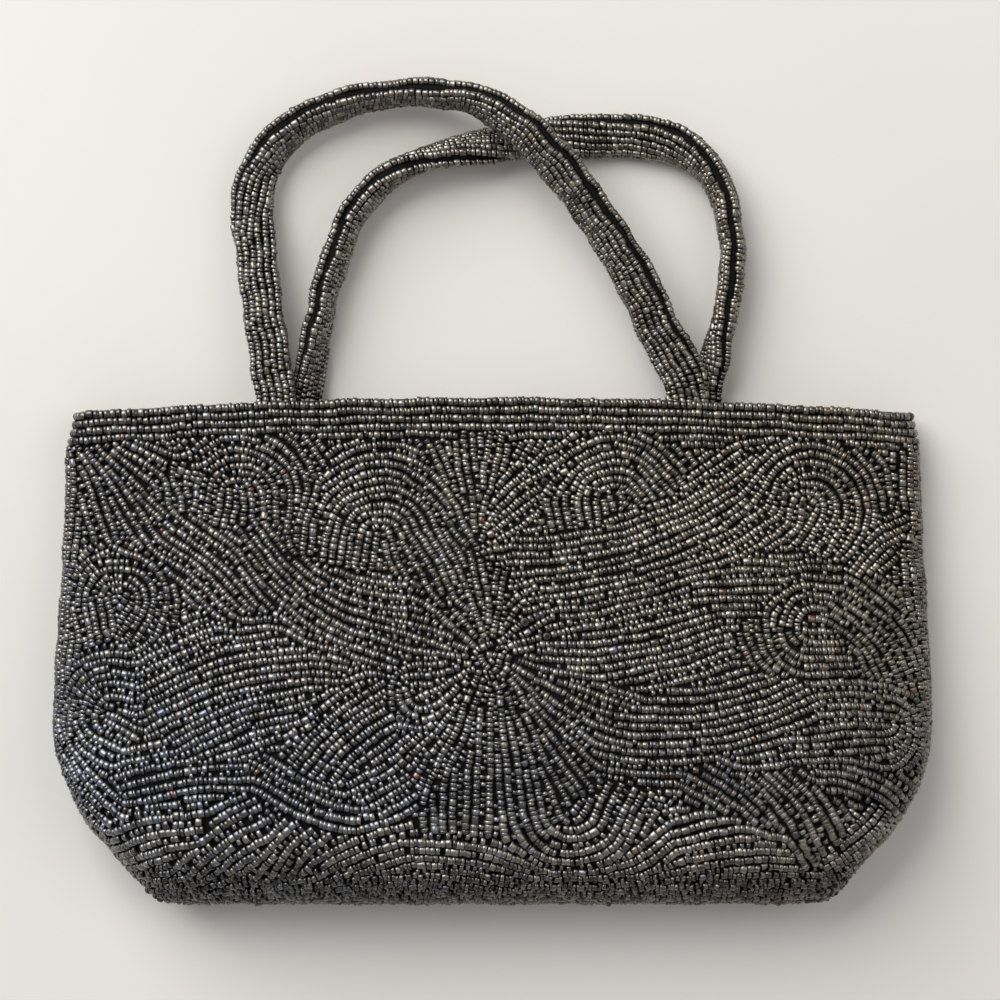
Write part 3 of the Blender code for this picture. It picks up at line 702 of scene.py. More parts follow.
def leaf_lines(x0, y0, x1, y1, bend, lines):
    """Lines side by side that bend the same way from one end to the other."""
    start, end = np.array([x0, y0], float), np.array([x1, y1], float)
    left = np.array([y1 - y0, x0 - x1]) / math.hypot(x1 - x0, y1 - y0)
    share = np.linspace(0, 1, GUIDE_POINTS)[:, None]
    middle = start + share * (end - start) + 4 * bend * share * (1 - share) * left
    aside = (np.arange(lines) - (lines - 1) / 2) * GUIDE_SPACING
    return [middle + shift * left for shift in aside]


def guide_lines():
    """All the lines over the photograph that the bead rows follow."""
    kinds = ((RINGS, ring_lines), (FANS, fan_lines), (LEAVES, leaf_lines))
    return [line for table, draw in kinds for motif in table.values() for line in draw(*motif)]


def guide_angles():
    """Columns and lines of a grid over the photograph, and the bead rows' angle at each of its points."""
    x = np.arange(*GUIDE_COLUMNS, GUIDE_STEP)
    y = np.arange(*GUIDE_LINES, GUIDE_STEP)
    at_x, at_y = np.meshgrid(x, y)
    # Doubled angles, so that a line's two directions count as one.
    cosines, sines = np.zeros(at_x.shape), np.zeros(at_x.shape)
    for line in guide_lines():
        nearest, angle = np.full(at_x.shape, FAR), np.zeros(at_x.shape)
        for (x0, y0), (x1, y1) in zip(line, line[1:]):
            dx, dy = x1 - x0, y1 - y0
            share = np.clip(((at_x - x0) * dx + (at_y - y0) * dy) / (dx * dx + dy * dy), 0, 1)
            gap = (at_x - x0 - share * dx) ** 2 + (at_y - y0 - share * dy) ** 2
            closer = gap < nearest
            nearest[closer] = gap[closer]
            angle[closer] = 2 * math.atan2(dy, dx)
        weight = np.exp(-nearest / GUIDE_REACH**2)
        cosines += weight * np.cos(angle)
        sines += weight * np.sin(angle)
    return x, y, np.arctan2(sines, cosines) / 2


class Surface:
    """The outside of the bag at the height of the beads' middles, as a grid of cells.

    Lines of cells run round the bag, from the mouth to where the base closes. Columns go right round
    it from the middle of the back.
    """

    def __init__(self):
        panels = np.linspace(0, PANEL_LENGTH, PANEL_RINGS)[:-1]
        turns = np.linspace(0, math.pi / 2, BASE_RINGS)
        lengths = np.concatenate([panels, CORE_LENGTH - BASE_REACH * (1 - np.sin(turns))])
        rings = [self.ring(length) for length in lengths]
        points = np.array([ring[0] for ring in rings])
        normals = np.array([ring[1] for ring in rings])
        middle = points[:, SURFACE_COLUMNS // 2]
        reach = reach_along(steps_between(middle))
        self.down = np.linspace(0, reach[-1], int(reach[-1] / CELL))
        below = np.clip(np.searchsorted(reach, self.down, side="right") - 1, 0, len(reach) - 2)
        share = (self.down - reach[below]) / (reach[below + 1] - reach[below])
        self.length = lengths[below] * (1 - share) + lengths[below + 1] * share
        share = share[:, None, None]
        self.points = points[below] * (1 - share) + points[below + 1] * share
        self.normals = unit(normals[below] * (1 - share) + normals[below + 1] * share)
        self.lines, self.columns = self.points.shape[:2]
        self.by_column = (np.roll(self.points, -1, 1) - np.roll(self.points, 1, 1)) / 2
        self.by_line = np.gradient(self.points, axis=0)
        self.cc = (self.by_column**2).sum(2)
        self.ll = (self.by_line**2).sum(2)
        self.cl = (self.by_column * self.by_line).sum(2)

    def ring(self, length):
        points, normals = core_ring(length, -math.pi / 2, 1.5 * math.pi, SURFACE_COLUMNS)
        points = points + (WALL - BEAD_RADIUS) * normals
        points[:, 1] -= sag(points[:, 0], length)
        return points[:-1], normals[:-1]

    def at(self, values, column, line):
        """Values of the grid at places that are given in cells."""
        left = np.floor(column - 0.5).astype(int)
        top = np.clip(np.floor(line - 0.5).astype(int), 0, self.lines - 2)
        across = (column - 0.5 - left)[:, None]
        down = (line - 0.5 - top)[:, None]
        right = (left + 1) % self.columns
        left = left % self.columns
        upper = values[top, left] * (1 - across) + values[top, right] * across
        lower = values[top + 1, left] * (1 - across) + values[top + 1, right] * across
        return upper * (1 - down) + lower * down

    def row_directions(self):
        """The bead rows' direction in each cell, as columns and lines for each metre."""
        grid_x, grid_y, angles = guide_angles()
        back = self.normals[..., 2] < 0
        middle_x, foot_y = MIDDLE_PIXEL
        x = middle_x + self.points[..., 0] / PIXEL
        x = np.where(back, 2 * middle_x - x, x)
        y = foot_y + (FOOT_Y - self.points[..., 1]) / PIXEL
        column = np.clip(np.round((x - grid_x[0]) / GUIDE_STEP).astype(int), 0, len(grid_x) - 1)
        line = np.clip(np.round((y - grid_y[0]) / GUIDE_STEP).astype(int), 0, len(grid_y) - 1)
        angle = angles[line, column]
        dx = np.where(back, -np.cos(angle), np.cos(angle))
        dy = -np.sin(angle)
        up = self.normals[..., 2]
        slope = -(self.normals[..., 0] * dx + self.normals[..., 1] * dy)
        lifted = np.stack([dx, dy, slope / np.where(np.abs(up) < STEEP / 2, STEEP / 2, up)], -1)
        # Steep places have rows along the bag's outline, and the mouth has rows along its edge.
        edge = np.stack([-self.normals[..., 1], self.normals[..., 0], np.zeros_like(up)], -1)
        wanted = np.where((np.abs(up) < STEEP)[..., None], edge, lifted)
        at_mouth = (self.down < (MOUTH_ROWS + MOUTH_MARGIN) * ROW_PITCH)[:, None, None]
        wanted = unit(np.where(at_mouth, self.by_column, wanted))
        along_column = (wanted * self.by_column).sum(2)
        along_line = (wanted * self.by_line).sum(2)
        area = self.cc * self.ll - self.cl**2 + SMALLEST_SQUARE
        columns = (along_column * self.ll - along_line * self.cl) / area
        lines = (along_line * self.cc - along_column * self.cl) / area
        squares = self.cc * columns**2 + 2 * self.cl * columns * lines + self.ll * lines**2
        speed = np.sqrt(np.maximum(squares, SMALLEST_SQUARE))
        return columns / speed, lines / speed


class RowLayout:
    """Rows of beads that follow the surface's directions at an even distance from each other."""

    def __init__(self, surface):
        self.surface = surface
        columns, lines = surface.row_directions()
        self.directions = columns.tolist(), lines.tolist()
        self.metric = surface.cc.tolist(), surface.cl.tolist(), surface.ll.tolist()
        shape = (surface.lines, surface.columns)
        self.near = np.zeros(shape, bool)
        self.wide = np.zeros(shape, bool)
        fold = surface.down[np.argmin(np.abs(surface.length - PANEL_LENGTH))]
        away = (surface.down - fold - FOLD_PAST_THE_SEAM) / FOLD_REACH
        self.pitch = ROW_PITCH * (1 + FOLD_SPREAD * np.exp(-(away**2)))
        stamp = slice(-STAMP_REACH, STAMP_REACH + 1)
        self.stamp_lines, self.stamp_columns = np.mgrid[stamp, stamp]
        self.rows = []
        self.waiting = deque()

    def length_of(self, line, column, columns, lines):
        cc, cl, ll = (part[line][column] for part in self.metric)
        square = cc * columns * columns + 2 * cl * columns * lines + ll * lines * lines
        return math.sqrt(max(square, SMALLEST_SQUARE))

    def has_both_sides(self, line):
        """Whether there are lines of cells on both sides of this one."""
        return 0.5 < line < self.surface.lines - 1.5

    def stamp(self, grid, column, line, radius):
        """Marks the cells of grid that are nearer to this place than radius."""
        surface = self.surface
        i, j = int(column) % surface.columns, int(line)
        across = self.stamp_columns - (column - int(column)) + 0.5
        down = self.stamp_lines - (line - j) + 0.5
        cc, cl, ll = surface.cc[j, i], surface.cl[j, i], surface.ll[j, i]
        inside = cc * across**2 + 2 * cl * across * down + ll * down**2 < radius**2
        lines = j + self.stamp_lines[inside]
        columns = (i + self.stamp_columns[inside]) % surface.columns
        kept = (lines >= 0) & (lines < surface.lines)
        grid[lines[kept], columns[kept]] = True

    def trace(self, column, line):
        """Places along a row through this one, until it meets another row or itself."""
        halves = []
        seen = {}
        for way in (1, -1):
            half, closed = self.trace_one_way(column, line, way, seen)
            halves.append(half)
            if closed:
                halves.append([])
                break
            seen = {cell: -count for cell, count in seen.items()}
        return halves[1][::-1] + [(column, line)] + halves[0]

    def trace_one_way(self, column, line, way, seen):
        by_column, by_line = self.directions
        i, j = int(column) % self.surface.columns, int(line)
        across, down = by_column[j][i] * way, by_line[j][i] * way
        half = []
        while True:
            i, j = int(column) % self.surface.columns, int(line)
            next_across, next_down = by_column[j][i], by_line[j][i]
            cc, cl, ll = (part[j][i] for part in self.metric)
            turn = cc * next_across * across + cl * (next_across * down + next_down * across)
            turn += ll * next_down * down
            if turn < 0:
                next_across, next_down, turn = -next_across, -next_down, -turn
            if turn < SHARPEST_TURN:
                return half, False
            across, down = (across + next_across) / 2, (down + next_down) / 2
            speed = self.length_of(j, i, across, down)
            across, down = across / speed, down / speed
            column += across * ROW_STEP
            line += down * ROW_STEP
            if not self.has_both_sides(line) or self.near[int(line), int(column) % self.surface.columns]:
                return half, False
            half.append((column, line))
            cell = (int(column % self.surface.columns / LOOP_CELL), int(line / LOOP_CELL))
            if cell in seen and abs(len(half) - seen[cell]) > LOOP_LAG:
                return half, True
            seen[cell] = len(half)

    def add_row(self, column, line, shortest):
        """Lays a row through this place if there is room, and notes the places beside it."""
        if not self.has_both_sides(line) or self.wide[int(line), int(column) % self.surface.columns]:
            return
        row = self.trace(column, line)
        if len(row) * ROW_STEP < shortest:
            return
        self.rows.append(np.array(row))
        for column, line in row:
            self.stamp(self.near, column, line, NEAR_share * self.pitch[int(line)])
        for column, line in row[::2]:
            self.stamp(self.wide, column, line, WIDE_share * self.pitch[int(line)])
        for column, line in row[::SEED_EVERY]:
            self.note_sides(column, line)

    def note_sides(self, column, line):
        i, j = int(column) % self.surface.columns, int(line)
        across, down = (part[j][i] for part in self.directions)
        cc, cl, ll = (part[j][i] for part in self.metric)
        side_across, side_down = -(cl * across + ll * down), cc * across + cl * down
        step = self.pitch[j] / self.length_of(j, i, side_across, side_down)
        for hand in (1, -1):
            self.waiting.append((column + hand * side_across * step, line + hand * side_down * step))

    def add_beside(self, shortest):
        while self.waiting:
            column, line = self.waiting.popleft()
            self.add_row(column, line, shortest)

    def add_everywhere(self, grid, shortest, rng):
        free = np.argwhere(~grid)
        rng.shuffle(free)
        for line, column in free:
            if not grid[line, column]:
                self.wide[line, column] = False
                self.add_row(column + 0.5, line + 0.5, shortest)

    def add_at_mouth(self):
        lines = np.arange(self.surface.lines)
        for row in range(MOUTH_ROWS):
            line = np.interp((row + 0.5) * ROW_PITCH, self.surface.down, lines)
            self.add_row(0.5, line, LONG_ROW)

    def add_at_guides(self):
        """Rows through the middle of each guide line, the longest first, then the same on the back."""
        surface = self.surface
        on_front = np.argwhere(surface.normals[..., 2] > FACES_FRONT)
        places = surface.points[on_front[:, 0], on_front[:, 1], :2]
        guides = sorted(guide_lines(), key=lambda line: -steps_between(line).sum())
        starts = []
        for guide in guides:
            x, y = guide[len(guide) // 2] if len(guide) > 2 else guide.mean(0)
            place = (middle_across(x), middle_up(y))
            line, column = on_front[np.argmin(((places - place) ** 2).sum(1))]
            starts.append((column + 0.5, line + 0.5))
        for half_way_round in (0, surface.columns / 2):
            for column, line in starts:
                self.add_row((column + half_way_round) % surface.columns, line, LONG_ROW)


def lay_rows(surface):
    """Rows of beads as places in cells, and short ones in the gaps that they leave."""
    layout = RowLayout(surface)
    rng = np.random.default_rng(TRACE_SEED)
    layout.add_at_mouth()
    layout.add_at_guides()
    layout.add_beside(LONG_ROW)
    layout.add_everywhere(layout.wide, SHORT_ROW, rng)
    layout.add_beside(SHORT_ROW)
    layout.add_everywhere(layout.near, 0, rng)
    layout.waiting.clear()
    return layout


def fill_holes(layout, column, line, rng):
    """Cells for single small beads, where no bead at these places is near."""
    filled = np.zeros_like(layout.near)
    reach = HOLE_REACH * layout.pitch / ROW_PITCH
    for place in zip(column, line):
        layout.stamp(filled, *place, reach[int(place[1])])
    free = np.argwhere(~filled[1:-2]) + (1, 0)
    rng.shuffle(free)
    found = []
    for j, i in free:
        if not filled[j, i]:
            found.append((j, i))
            layout.stamp(filled, i + 0.5, j + 0.5, reach[j])
    return np.array(found)


def beads_along(points, normals, radius, rng):
    """Beads threaded on a line of points: places, directions, normals, half lengths, radii and reaches.

    The beads fill the line and END_REACH past each of its ends.
    """
    first, last = unit(points[0] - points[1]), unit(points[-1] - points[-2])
    points = np.concatenate([[points[0] + END_REACH * first], points, [points[-1] + END_REACH * last]])
    normals = np.concatenate([normals[:1], normals, normals[-1:]])
    reach = reach_along(steps_between(points))
    count = int(reach[-1] / SHORTEST_BEAD) + 2
    sizes = rng.lognormal(math.log(BEAD_LENGTH), BEAD_LENGTH_SPREAD, count)
    sizes = np.clip(sizes, SHORTEST_BEAD, LONGEST_BEAD)
    ends = np.cumsum(sizes + BEAD_GAP)
    kept = max(1, int(np.argmin(np.abs(ends - reach[-1]))) + 1)
    stretch = reach[-1] / ends[kept - 1]
    sizes, ends = (sizes[:kept] + BEAD_GAP) * stretch - BEAD_GAP, ends[:kept] * stretch
    middles = ends - (sizes + BEAD_GAP) / 2
    place, along, normal = (
        at_reach(middles, reach, values) for values in (points, np.gradient(points, axis=0), normals)
    )
    return place, along, normal, sizes / 2, np.full(kept, radius), middles


class Beads:
    """Many barrel beads: where each is, the way its hole runs, its outward direction, its size and the painted light
    on it.
    """

    def __init__(self, place, along, normal, half_length, radius):
        self.place = place
        self.normal = unit(normal)
        self.along = unit(along - (along * self.normal).sum(1)[:, None] * self.normal)
        self.half_length = half_length
        self.radius = radius
        # Painted light on each bead, 1 where none is painted.
        self.painted_light = np.ones(len(place))

    @classmethod
    def gather(cls, rows):
        return cls(*(np.concatenate([row[k] for row in rows]) for k in range(5)))

    def __len__(self):
        return len(self.place)

    def chosen(self, which):
        parts = (self.place, self.along, self.normal, self.half_length, self.radius)
        chosen = Beads(*(part[which] for part in parts))
        chosen.painted_light = self.painted_light[which]
        return chosen

    def loosen(self, rng, slack=1):
        """Small differences of size, height, place and lean, as sewn beads have, more with more slack."""
        count = len(self)
        slack = np.full(count, slack, float)[:, None] if np.isscalar(slack) else slack[:, None]
        side = np.cross(self.along, self.normal)
        self.place = self.place + rng.normal(0, BEAD_LIFT, (count, 1)) * slack * self.normal
        self.place += rng.normal(0, BEAD_DRIFT, (count, 1)) * side
        self.along = unit(self.along + rng.normal(0, BEAD_LEAN, (count, 1)) * side)
        self.along = unit(self.along + rng.normal(0, BEAD_LEAN, (count, 1)) * slack * self.normal)
        self.normal = unit(self.normal - (self.normal * self.along).sum(1)[:, None] * self.along)
        self.radius = self.radius * np.clip(rng.normal(1, BEAD_SIZE_SPREAD, count), *BEAD_SIZE_LIMITS)
        self.place[:, 2] = np.maximum(self.place[:, 2], cad_box[0][2] + self.radius)
        return self

    def waver(self, depth, length, seed):
        """Rows wander a little from side to side and up and down, by this depth over this length."""
        self.place = self.place + depth * soft_noise(self.place, length, seed)
        return self

    def turn_on_end(self, which):
        """Beads that came loose in their stitches show their holes."""
        self.along[which], self.normal[which] = self.normal[which].copy(), self.along[which].copy()

    def tones(self, rng):
        """Bluish on the left and over the fold, bronze on the right and at the mouth, and a few rusty."""
        down = (MOUTH_Y - self.place[:, 1]) / PANEL_LENGTH
        tone = TONE_MIDDLE + TONE_DRIFT * self.place[:, 0] / (WIDEST / 2)
        tone = tone + np.interp(down, *TONE_DOWN)
        tone = np.clip(tone + rng.normal(0, TONE_SPREAD, len(self)), 0, BEAD_TONES[-2][0])
        return np.where(rng.random(len(self)) < RUSTY_share, 1, tone)


def soft_noise(points, length, seed):
    """A smooth vector between about -1 and 1 at each point, which changes over this length."""
    rng = np.random.default_rng(seed)
    total = np.zeros((len(points), 3))
    for _ in range(NOISE_WAVES):
        direction = unit(rng.normal(size=3))
        turns = rng.uniform(*NOISE_PITCHES) * FULL_TURN / length
        phase = rng.uniform(0, FULL_TURN, 3)
        total += np.sin(points @ direction[:, None] * turns + phase) * unit(rng.normal(size=3))
    return total / math.sqrt(NOISE_WAVES / 2)


def bead_template():
    """Points of one bead as (along, out, aside) shares, and its faces as four- and three-sided."""
    turn = np.arange(BEAD_SIDES) * FULL_TURN / BEAD_SIDES
    points = [
        (along, radius * math.cos(a), radius * math.sin(a)) for along, radius in BEAD_PROFILE for a in turn
    ]
    first_middle, last_middle = len(points), len(points) + 1
    points += [(-BEAD_DIMPLE, 0, 0), (BEAD_DIMPLE, 0, 0)]
    quads, triangles = [], []
    last = (len(BEAD_PROFILE) - 1) * BEAD_SIDES
    for i in range(BEAD_SIDES):
        j = (i + 1) % BEAD_SIDES
        for ring in range(0, last, BEAD_SIDES):
            quads.append((ring + i, ring + j, ring + BEAD_SIDES + j, ring + BEAD_SIDES + i))
        triangles.append((first_middle, j, i))
        triangles.append((last_middle, last + i, last + j))
    return np.array(points), np.array(quads), np.array(triangles)


def bead_uv(count, quads, triangles):
    """A cell of the map for each bead: its side in the lower part, its ends in the upper part."""
    cells = math.ceil(math.sqrt(count))
    index = np.arange(count)
    corner = np.stack([index % cells, index // cells], axis=1) / cells
    pattern = np.concatenate([np.tile(BEAD_SIDE_MAP, (quads, 1)), np.tile(BEAD_END_MAP, (triangles, 1))])
    pattern = pattern / cells
    # Four-sided faces of all the beads come first, as in the mesh.
    sides = (corner[:, None] + pattern[None, : 4 * quads]).reshape(-1, 2)
    ends = (corner[:, None] + pattern[None, 4 * quads :]).reshape(-1, 2)
    return np.concatenate([sides, ends])


def fill_mesh(name, points, quads, triangles):
    """A smooth mesh from arrays of points, four-sided faces and three-sided faces."""
    mesh = bpy.data.meshes.new(name)
    mesh.vertices.add(len(points))
    mesh.vertices.foreach_set("co", np.ascontiguousarray(points, np.float32).ravel())
    corners = np.concatenate([quads.ravel(), triangles.ravel()]).astype(np.int32)
    sizes = np.concatenate([np.full(len(quads), 4), np.full(len(triangles), 3)]).astype(np.int32)
    mesh.loops.add(len(corners))
    mesh.loops.foreach_set("vertex_index", corners)
    mesh.polygons.add(len(sizes))
    mesh.polygons.foreach_set("loop_start", np.concatenate([[0], np.cumsum(sizes)[:-1]]).astype(np.int32))
    mesh.polygons.foreach_set("loop_total", sizes)
    mesh.polygons.foreach_set("use_smooth", np.ones(len(sizes), bool))
    mesh.update(calc_edges=True)
    return mesh


def add_values(mesh, name, values):
    attribute = mesh.attributes.new(name, "FLOAT", "POINT")
    attribute.data.foreach_set("value", np.asarray(values, np.float32).ravel())


def bead_mesh(name, beads, rng):
    template, quads, triangles = bead_template()
    count, size = len(beads), len(template)
    side = np.cross(beads.along, beads.normal)
    half, radius = beads.half_length[:, None, None], beads.radius[:, None, None]
    points = beads.place[:, None] + template[None, :, :1] * half * beads.along[:, None]
    points = points + template[None, :, 1:2] * radius * beads.normal[:, None]
    points = points + template[None, :, 2:] * radius * side[:, None]
    first = (np.arange(count) * size)[:, None, None]
    all_quads = (quads[None] + first).reshape(-1, 4)
    all_triangles = (triangles[None] + first).reshape(-1, 3)
    mesh = fill_mesh(name, points.reshape(-1, 3), all_quads, all_triangles)
    layer = mesh.uv_layers.new(name="OFBake")
    layer.data.foreach_set("uv", bead_uv(count, len(quads), len(triangles)).astype(np.float32).ravel())
    # Black in the thread holes, and painted shade on the end rings where the beads touch.
    hole = np.zeros(size)
    hole[:BEAD_SIDES] = hole[-2 - BEAD_SIDES : -2] = END_SHADE_AND_THREAD
    hole[-2:] = 1
    # Each bead's shade: a random brightness of its own, times the painted light at its place.
    shade = beads.painted_light * rng.uniform(DULLEST_share, 1, count)
    add_values(mesh, "shade", np.repeat(shade, size))
    add_values(mesh, "tone", np.repeat(beads.tones(rng), size))
    add_values(mesh, "hole", np.tile(hole, count))
    return mesh


def new_piece(name, mesh, material, body=None):
    piece = bpy.data.objects.new(name, mesh)
    bpy.context.scene.collection.objects.link(piece)
    mesh.materials.append(material)
    if body:
        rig.ride(piece, body)
    return piece


def add_beads(name, beads, material, body, slot, rng):
    """Beads in as many pieces as keep each under the most beads, sorted along X. It returns the pieces."""
    order = np.argsort(beads.place[:, 0], kind="stable")
    strips = math.ceil(len(order) / MOST_BEADS_IN_A_PIECE)
    made = []
    for number, which in enumerate(np.array_split(order, strips), start=1):
        title = f"{name}_{number}" if strips > 1 else name
        mesh = bead_mesh(title, beads.chosen(np.sort(which)), rng)
        piece = new_piece(title, mesh, material, body)
        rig.slot(piece, slot)
        made.append(piece)
    return made


def bag_rows(surface, rng):
    """All the beads on the bag, and the length down the core where each is."""
    across, down = surface.row_directions()
    field = unit(across[..., None] * surface.by_column + down[..., None] * surface.by_line)
    layout = lay_rows(surface)
    rows, columns, lines = [], [], []
    for row in layout.rows:
        column, line = row[:, 0], row[:, 1]
        points = surface.at(surface.points, column, line)
        normals = surface.at(surface.normals, column, line)
        if len(row) == 1:
            ahead = field[int(line[0]), int(column[0]) % surface.columns] * LONE_BEAD_AIM
            points = np.stack([points[0] - ahead, points[0] + ahead])
            column, line, normals = (np.repeat(part, 2, axis=0) for part in (column, line, normals))
        *made, middles = beads_along(points, normals, BEAD_RADIUS, rng)
        reach = reach_along(steps_between(points))
        rows.append(made)
        columns.append(np.interp(middles - END_REACH, reach, column))
        lines.append(np.interp(middles - END_REACH, reach, line))
    line, column = fill_holes(layout, np.concatenate(columns), np.concatenate(lines), rng).T
    place = surface.points[line, column] - HOLE_BEAD_DROP * surface.normals[line, column]
    half_length = np.full(len(line), HOLE_BEAD_share * BEAD_LENGTH / 2)
    radius = np.full(len(line), HOLE_BEAD_share * BEAD_RADIUS)
    rows.append((place, field[line, column], surface.normals[line, column], half_length, radius))
    lines.append(line + 0.5)
    lengths = np.interp(np.concatenate(lines), np.arange(surface.lines), surface.length)
    return Beads.gather(rows), lengths


def rings_at(lengths, facings, columns, height):
    """Rings of points at this height above the core."""
    rings = []
    for length in lengths:
        points, normals = core_ring(length, *facings, columns)
        points = points + height * normals
        points[:, 1] -= sag(points[:, 0], length)
        rings.append(points)
    return np.array(rings)


def point_numbers(lines, columns, closed):
    """The numbers of a grid's points. A closed grid has its first column once more at its end."""
    grid = np.arange(lines * columns).reshape(lines, columns)
    return np.concatenate([grid, grid[:, :1]], axis=1) if closed else grid


def grid_quads(grid):
    """The four-sided faces between the points of a grid, as numbers of points."""
    return np.stack([grid[:-1, :-1], grid[:-1, 1:], grid[1:, 1:], grid[1:, :-1]], -1).reshape(-1, 4)


def shell_mesh(name, outer, inner, closed=False):
    """A thin solid between two grids of points, whose lines may close on themselves."""
    lines, columns = outer.shape[:2]
    grid = point_numbers(lines, columns, closed)
    below = grid + lines * columns
    quads = [grid_quads(grid), grid_quads(below)[:, [0, 3, 2, 1]]]
    quads.append(np.stack([grid[0, 1:], grid[0, :-1], below[0, :-1], below[0, 1:]], -1))
    quads.append(np.stack([grid[-1, :-1], grid[-1, 1:], below[-1, 1:], below[-1, :-1]], -1))
    if not closed:
        quads.append(np.stack([grid[:-1, 0], grid[1:, 0], below[1:, 0], below[:-1, 0]], -1))
        quads.append(np.stack([grid[1:, -1], grid[:-1, -1], below[:-1, -1], below[1:, -1]], -1))
    points = np.concatenate([outer.reshape(-1, 3), inner.reshape(-1, 3)])
    return fill_mesh(name, points, np.concatenate(quads), np.zeros((0, 3), int))


def cut_size(grid):
    """The flat width and length that a sheet with this grid of points was cut to, and its area."""
    across = np.linalg.norm(np.diff(grid, axis=1), axis=2).sum(1).max()
    down = np.linalg.norm(np.diff(grid, axis=0), axis=2).sum(0).max()
    a, b = grid[1:, 1:] - grid[:-1, :-1], grid[1:, :-1] - grid[:-1, 1:]
    area = np.linalg.norm(np.cross(a, b), axis=2).sum() / 2
    return (float(across), float(down)), float(min(area, across * down))


def cloth(
    name, outer, inner, material, body, slot, held, rests_on, node=None, closed=False, with_pieces=()
):
    """A declared sheet of cloth between two grids of points, in place of its CAD node."""
    piece = new_piece(name, shell_mesh(name, outer, inner, closed), material, body)
    flat, area = cut_size((outer + inner) / 2)
    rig.sheet(piece, flat=flat, held=held, rests_on=rests_on, area=area, with_pieces=with_pieces)
    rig.slot(piece, slot)
    if node:
        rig.replaces(piece, node)
    return piece


def strap_frames(route, foot_y):
    """Centre, width direction, face direction, width and thickness along a handle's route."""
    rows = np.asarray(route, float)
    stations = np.linspace(0, 1, len(rows))
    at = np.linspace(0, 1, STRAP_RINGS + 1)
    values = smooth_curve(np.column_stack([stations, rows]), at)
    scale = (HANDLE_SPREAD, HANDLE_DROP, MOUTH_THICKNESS)
    centres = values[:, :3] * scale
    centres[:, 1] += foot_y
    ahead = np.gradient(centres, axis=0)
    ahead[[0, -1], 0] = 0
    ahead[[0, -1], 2] = 0
    ahead = unit(ahead)
    outward = unit(np.cross((0, 0, 1), ahead))
    up = np.cross(ahead, outward)
    tilt = (values[:, 3] * math.pi / 2)[:, None]
    across = np.cos(tilt) * outward + np.sin(tilt) * up
    face = np.cos(tilt) * up - np.sin(tilt) * outward
    return centres, across, face, values[:, 4] * STRAP_WIDTH, values[:, 5] * STRAP_THICKNESS


def strap_section(shares):
    """Places on a strap's outline at these shares of its girth, and the way the outline faces there."""
    angle = np.linspace(0, FULL_TURN, STRAP_SAMPLES + 1)
    c, s = np.cos(angle), np.sin(angle)
    x = np.sign(c) * np.abs(c) ** (2 / STRAP_POWER)
    y = np.sign(s) * np.abs(s) ** (2 / STRAP_POWER)
    wide, thick = STRAP_WIDTH / 2 - HANDLE_INSET, STRAP_THICKNESS / 2 - HANDLE_INSET
    reach = reach_along(np.hypot(np.diff(x) * wide, np.diff(y) * thick))
    reach /= reach[-1]
    shares = np.asarray(shares) % 1
    out_x = np.sign(c) * np.abs(c) ** (2 - 2 / STRAP_POWER) / wide
    out_y = np.sign(s) * np.abs(s) ** (2 - 2 / STRAP_POWER) / thick
    return [np.interp(shares, reach, values) for values in (x, y, out_x, out_y)]


def strap_lines(route, foot_y, shares, inset, turn=0):
    """Lines along a strap this far inside its outer surface, one for each share of its girth.

    The turn is a share of the girth at each of the strap's rings, by which the lines go round it.
    """
    centres, across, face, widths, thicknesses = strap_frames(route, foot_y)
    shares = shares[:, None] + np.broadcast_to(turn, widths.shape)
    x, y, out_x, out_y = (part[..., None] for part in strap_section(shares))
    wide = (widths / 2 - inset)[:, None] * x
    thick = (thicknesses / 2 - inset)[:, None] * y
    lines = centres + wide * across + thick * face
    lines[:, [0, -1], 1] = foot_y
    return lines, unit(out_x * across + out_y * face)


def handle_rows():
    """Places of the bead rows round a strap, as shares of its girth from one edge."""
    face = np.linspace(GROOVE_share, 1 - GROOVE_share, FACE_ROWS) / 2
    return np.concatenate([face, 0.5 + face])


def cord_mesh(name, rings):
    """A closed tube through rings of points, with flat ends."""
    lines, columns = rings.shape[:2]
    grid = point_numbers(lines, columns, closed=True)
    middle = np.full(columns, lines * columns)
    first = np.stack([middle, grid[0, 1:], grid[0, :-1]], -1)
    last = np.stack([middle + 1, grid[-1, :-1], grid[-1, 1:]], -1)
    points = np.concatenate([rings.reshape(-1, 3), rings[[0, -1]].mean(axis=1)])
    return fill_mesh(name, points, grid_quads(grid), np.concatenate([first, last]))


